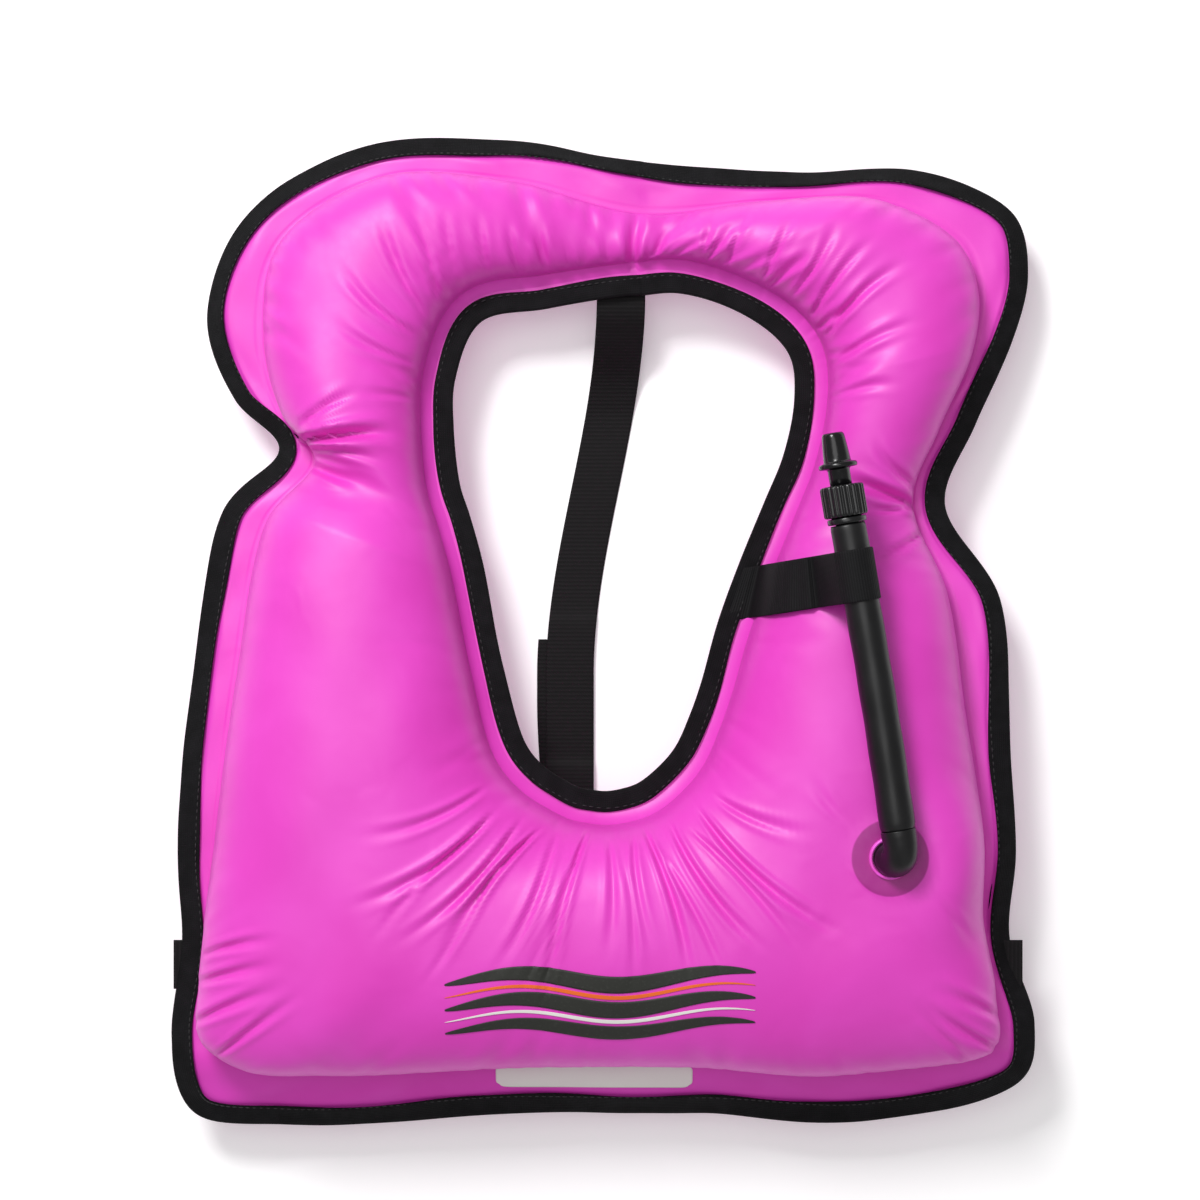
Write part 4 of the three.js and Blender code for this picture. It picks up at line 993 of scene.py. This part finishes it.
buckle_x = -118
hem_under = under_tape(belt_y)
crossing = half + 7
belt_route = [
    [219, hem_under], [207, hem_under], [203, hem_under - 3], [201.5, hem_under - 9], [200, 8], [196, 2.2],
    [189, ground], [150, ground], [80, ground], [strap_x + crossing + 12, ground],
    [strap_x + crossing, ground + layer], [strap_x - crossing, ground + layer],
    [strap_x - crossing - 12, ground], [buckle_x + 30, ground], [buckle_x + 14, ground],
    [buckle_x + 12, 1.3], [buckle_x + 11, 2.8], [buckle_x + 11, 6.0], [buckle_x + 12.2, 7.4],
    [buckle_x + 16, 7.8], [buckle_x + 19.6, 7.4], [buckle_x + 20.6, 6.0], [buckle_x + 20.7, 3.9],
    [buckle_x + 22.4, 2.6], [buckle_x + 25, ground + layer], [buckle_x + 45, ground + layer],
    [buckle_x + 64, ground + layer],
]
short_route = [
    [-221, hem_under], [-209, hem_under], [-206, hem_under - 3], [-205, hem_under - 9], [-204, 8],
    [-200, 2.2], [-194, ground], [-175, ground], [buckle_x - 36, ground], [buckle_x - 33.2, 1.3],
    [buckle_x - 32.2, 3],
    [buckle_x - 32.2, 6.2], [buckle_x - 33.6, 7.4], [buckle_x - 37, 7.55], [buckle_x - 42, 5.9],
    [buckle_x - 48, ground + layer + 0.2], [buckle_x - 70, ground + layer],
]
for strap_name, route, replaced in (
    ("waist_webbing", belt_route, "waist_belt"), ("short_side_webbing", short_route, "short_belt_strap"),
):
    plane, sideways, run_u, run_v = strap_points(route, web_width, web_thick, 2.1, 0.28)
    belt_xyz = np.stack([
        plane[..., 0] + to_frame[0], sideways + belt_y + to_frame[1], plane[..., 1],
    ], axis=-1)
    add_strap(strap_name, belt_xyz, run_u, run_v, web_black, "vest", replaced)

# ---- Hose retainer ----
# A loop of wide woven elastic is sewn under the neck tape and holds the top of the hose against the chest.
band_black = ribbed_webbing("elastic_black", (0.045, 0.044, 0.05), 1.3)
band_width = 26
band_thick = 1.2
band_below_valve = 26
band_middle = hose_start + hose_way * (hose_run - band_below_valve)
hug = hose_radius + 0.3 + band_thick / 2
front_xy = front_outer[..., :2].reshape(-1, 2)
front_z = front_outer[..., 2].ravel()


def fabric_height(x, y):
    """Height of the front panel at the grid point nearest to a place in plan."""
    return front_z[np.argmin((front_xy[:, 0] - x) ** 2 + (front_xy[:, 1] - y) ** 2)]


off_middle = neck_line - band_middle[:2]
beside = off_middle @ hose_side[:2]
along_hose = off_middle @ hose_way[:2]
near = (np.abs(along_hose) < 16) & (beside < 0) & (beside > -70)
neck_slant, neck_reach = np.polyfit(along_hose[near], beside[near], 1)


def slanted(reach, sideways):
    """Reach of a point of the band, moved so that the band's sewn end lies along the neck tape."""
    square_from = 16
    return reach + neck_slant * sideways * np.clip((reach + square_from) / (neck_reach + square_from), 0, 1)


def band_foot(reach):
    """Height of the band's middle over the highest fabric under its width, from the hose's centre."""
    widths = np.linspace(-band_width / 2, band_width / 2, 7)[:, None]
    spots = band_middle + hose_side * slanted(reach, widths) + hose_way * widths
    highest = max(fabric_height(x, y) for x, y, z in spots)
    return highest + 1.5 + band_thick / 2 - band_middle[2]


hem_level = seam_height(band_middle[1]) + 1.0 - band_middle[2]
band_low = [[neck_reach + 4, hem_level], [neck_reach + 9, hem_level], [neck_reach + 14, hem_level + 0.4]]
band_low += [[reach, band_foot(reach)] for reach in np.linspace(neck_reach + 17, -18, 7)]
last_reach, last_foot = band_low[-1]
aim = math.atan2(last_foot, last_reach)
spread = math.acos(min(1, hug / math.hypot(last_reach, last_foot)))
wrap = np.linspace(aim + spread - 0.02, aim - spread + 0.06 + 2 * math.pi, 26)
band_wrap = np.stack([hug * np.cos(wrap), hug * np.sin(wrap)], axis=1)
band_back = [[u, v + band_thick + 0.5] for u, v in band_low[::-1]]
band_route = np.concatenate([band_low, band_wrap, band_back])
plane, sideways, run_u, run_v = strap_points(band_route, band_width, band_thick, 1.3, 0.16)
band_reach = slanted(plane[..., 0], sideways)
band_xyz = band_middle + hose_side * band_reach[..., None] + hose_way * sideways[..., None]
band_xyz[..., 2] += plane[..., 1]
add_strap("hose_retainer_elastic", band_xyz, run_u, run_v, band_black, "hose",
          "retainer_loop")

# ---- Buckle and slider ----
# A side-release buckle of moulded acetal closes the waist belt under the chest, and a slider frame holds the
# doubled collar strap together. Their edges are rounded as a mould leaves them.
acetal = moulded("acetal_black", (0.095, 0.095, 0.105), 0.38, 700.0, 0.35)


def softened(node_name, name, edge):
    """A copy of a CAD node with its doubles merged and its sharp edges rounded."""
    source = frame["nodes"][node_name]
    copy = bpy.data.objects.new(name, source.data.copy())
    scene.collection.objects.link(copy)
    copy.data.transform(source.matrix_world)
    merge_doubles(copy)
    copy.data.materials.clear()
    copy.data.materials.append(acetal)
    bevel = copy.modifiers.new("edges", "BEVEL")
    bevel.width = edge / 1000
    bevel.segments = 2
    bevel.limit_method = "ANGLE"
    bevel.angle_limit = math.radians(35)
    bevel.harden_normals = True
    copy.data.shade_smooth()
    body = next(b for b, held in frame["record"]["behaviour"]["bodies"].items() if node_name in held)
    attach(copy, body)
    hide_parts(node_name)


for node_name, edge in (
    ("buckle_socket", 0.5), ("buckle_plug", 0.4), ("latch_arm_head_side", 0.35), ("latch_arm_hem_side", 0.35),
    ("strap_slider", 0.35),
):
    softened(node_name, node_name + "_moulding", edge)

# ---- Stage ----
# A white floor under a broad soft light overhead and towards the head end, with an even pale surround.
scene.view_settings.view_transform = "Standard"
floor_mesh = bpy.data.meshes.new("floor")
floor_half = 6.0
floor_mesh.from_pydata([(x * floor_half, y * floor_half, 0) for x, y in ((-1, -1), (1, -1), (1, 1), (-1, 1))],
                       [], [(0, 1, 2, 3)])
floor_paint, floor_tree, floor_shader = new_material("floor_paint", (0.97, 0.97, 0.97), 0.9)
floor_cloud = node(floor_tree, "TexNoise", Vector=place_of(floor_tree), Scale=3.0)
floor_white = mixed(floor_tree, floor_cloud.outputs["Fac"], (0.965, 0.965, 0.965), (0.975, 0.975, 0.975))
floor_tree.links.new(floor_white, floor_shader.inputs["Base Color"])
floor_shader.inputs["Emission Color"].default_value = (1, 1, 1, 1)
floor_shader.inputs["Emission Strength"].default_value = 0.22
floor_mesh.materials.append(floor_paint)
floor = bpy.data.objects.new("floor", floor_mesh)
scene.collection.objects.link(floor)

world = bpy.data.worlds.new("surround")
world.use_nodes = True
world.node_tree.nodes["Background"].inputs["Color"].default_value = (1, 1, 1, 1)
world.node_tree.nodes["Background"].inputs["Strength"].default_value = 0.32
scene.world = world


def soft_light(name, place, aim, size, power):
    """A square area light that faces a point."""
    data = bpy.data.lights.new(name, "AREA")
    data.shape = "SQUARE"
    data.size = size
    data.energy = power
    light = bpy.data.objects.new(name, data)
    light.location = place
    light.rotation_euler = (Vector(aim) - Vector(place)).to_track_quat("-Z", "Y").to_euler()
    scene.collection.objects.link(light)


chest_middle = (0, 0, 0.05)
soft_light("key", (-0.75, 1.35, 1.75), chest_middle, 0.6, 38)
soft_light("top", (-0.3, 0.3, 2.4), chest_middle, 1.5, 14)
soft_light("fill", (0.9, -1.7, 1.5), chest_middle, 1.8, 2)
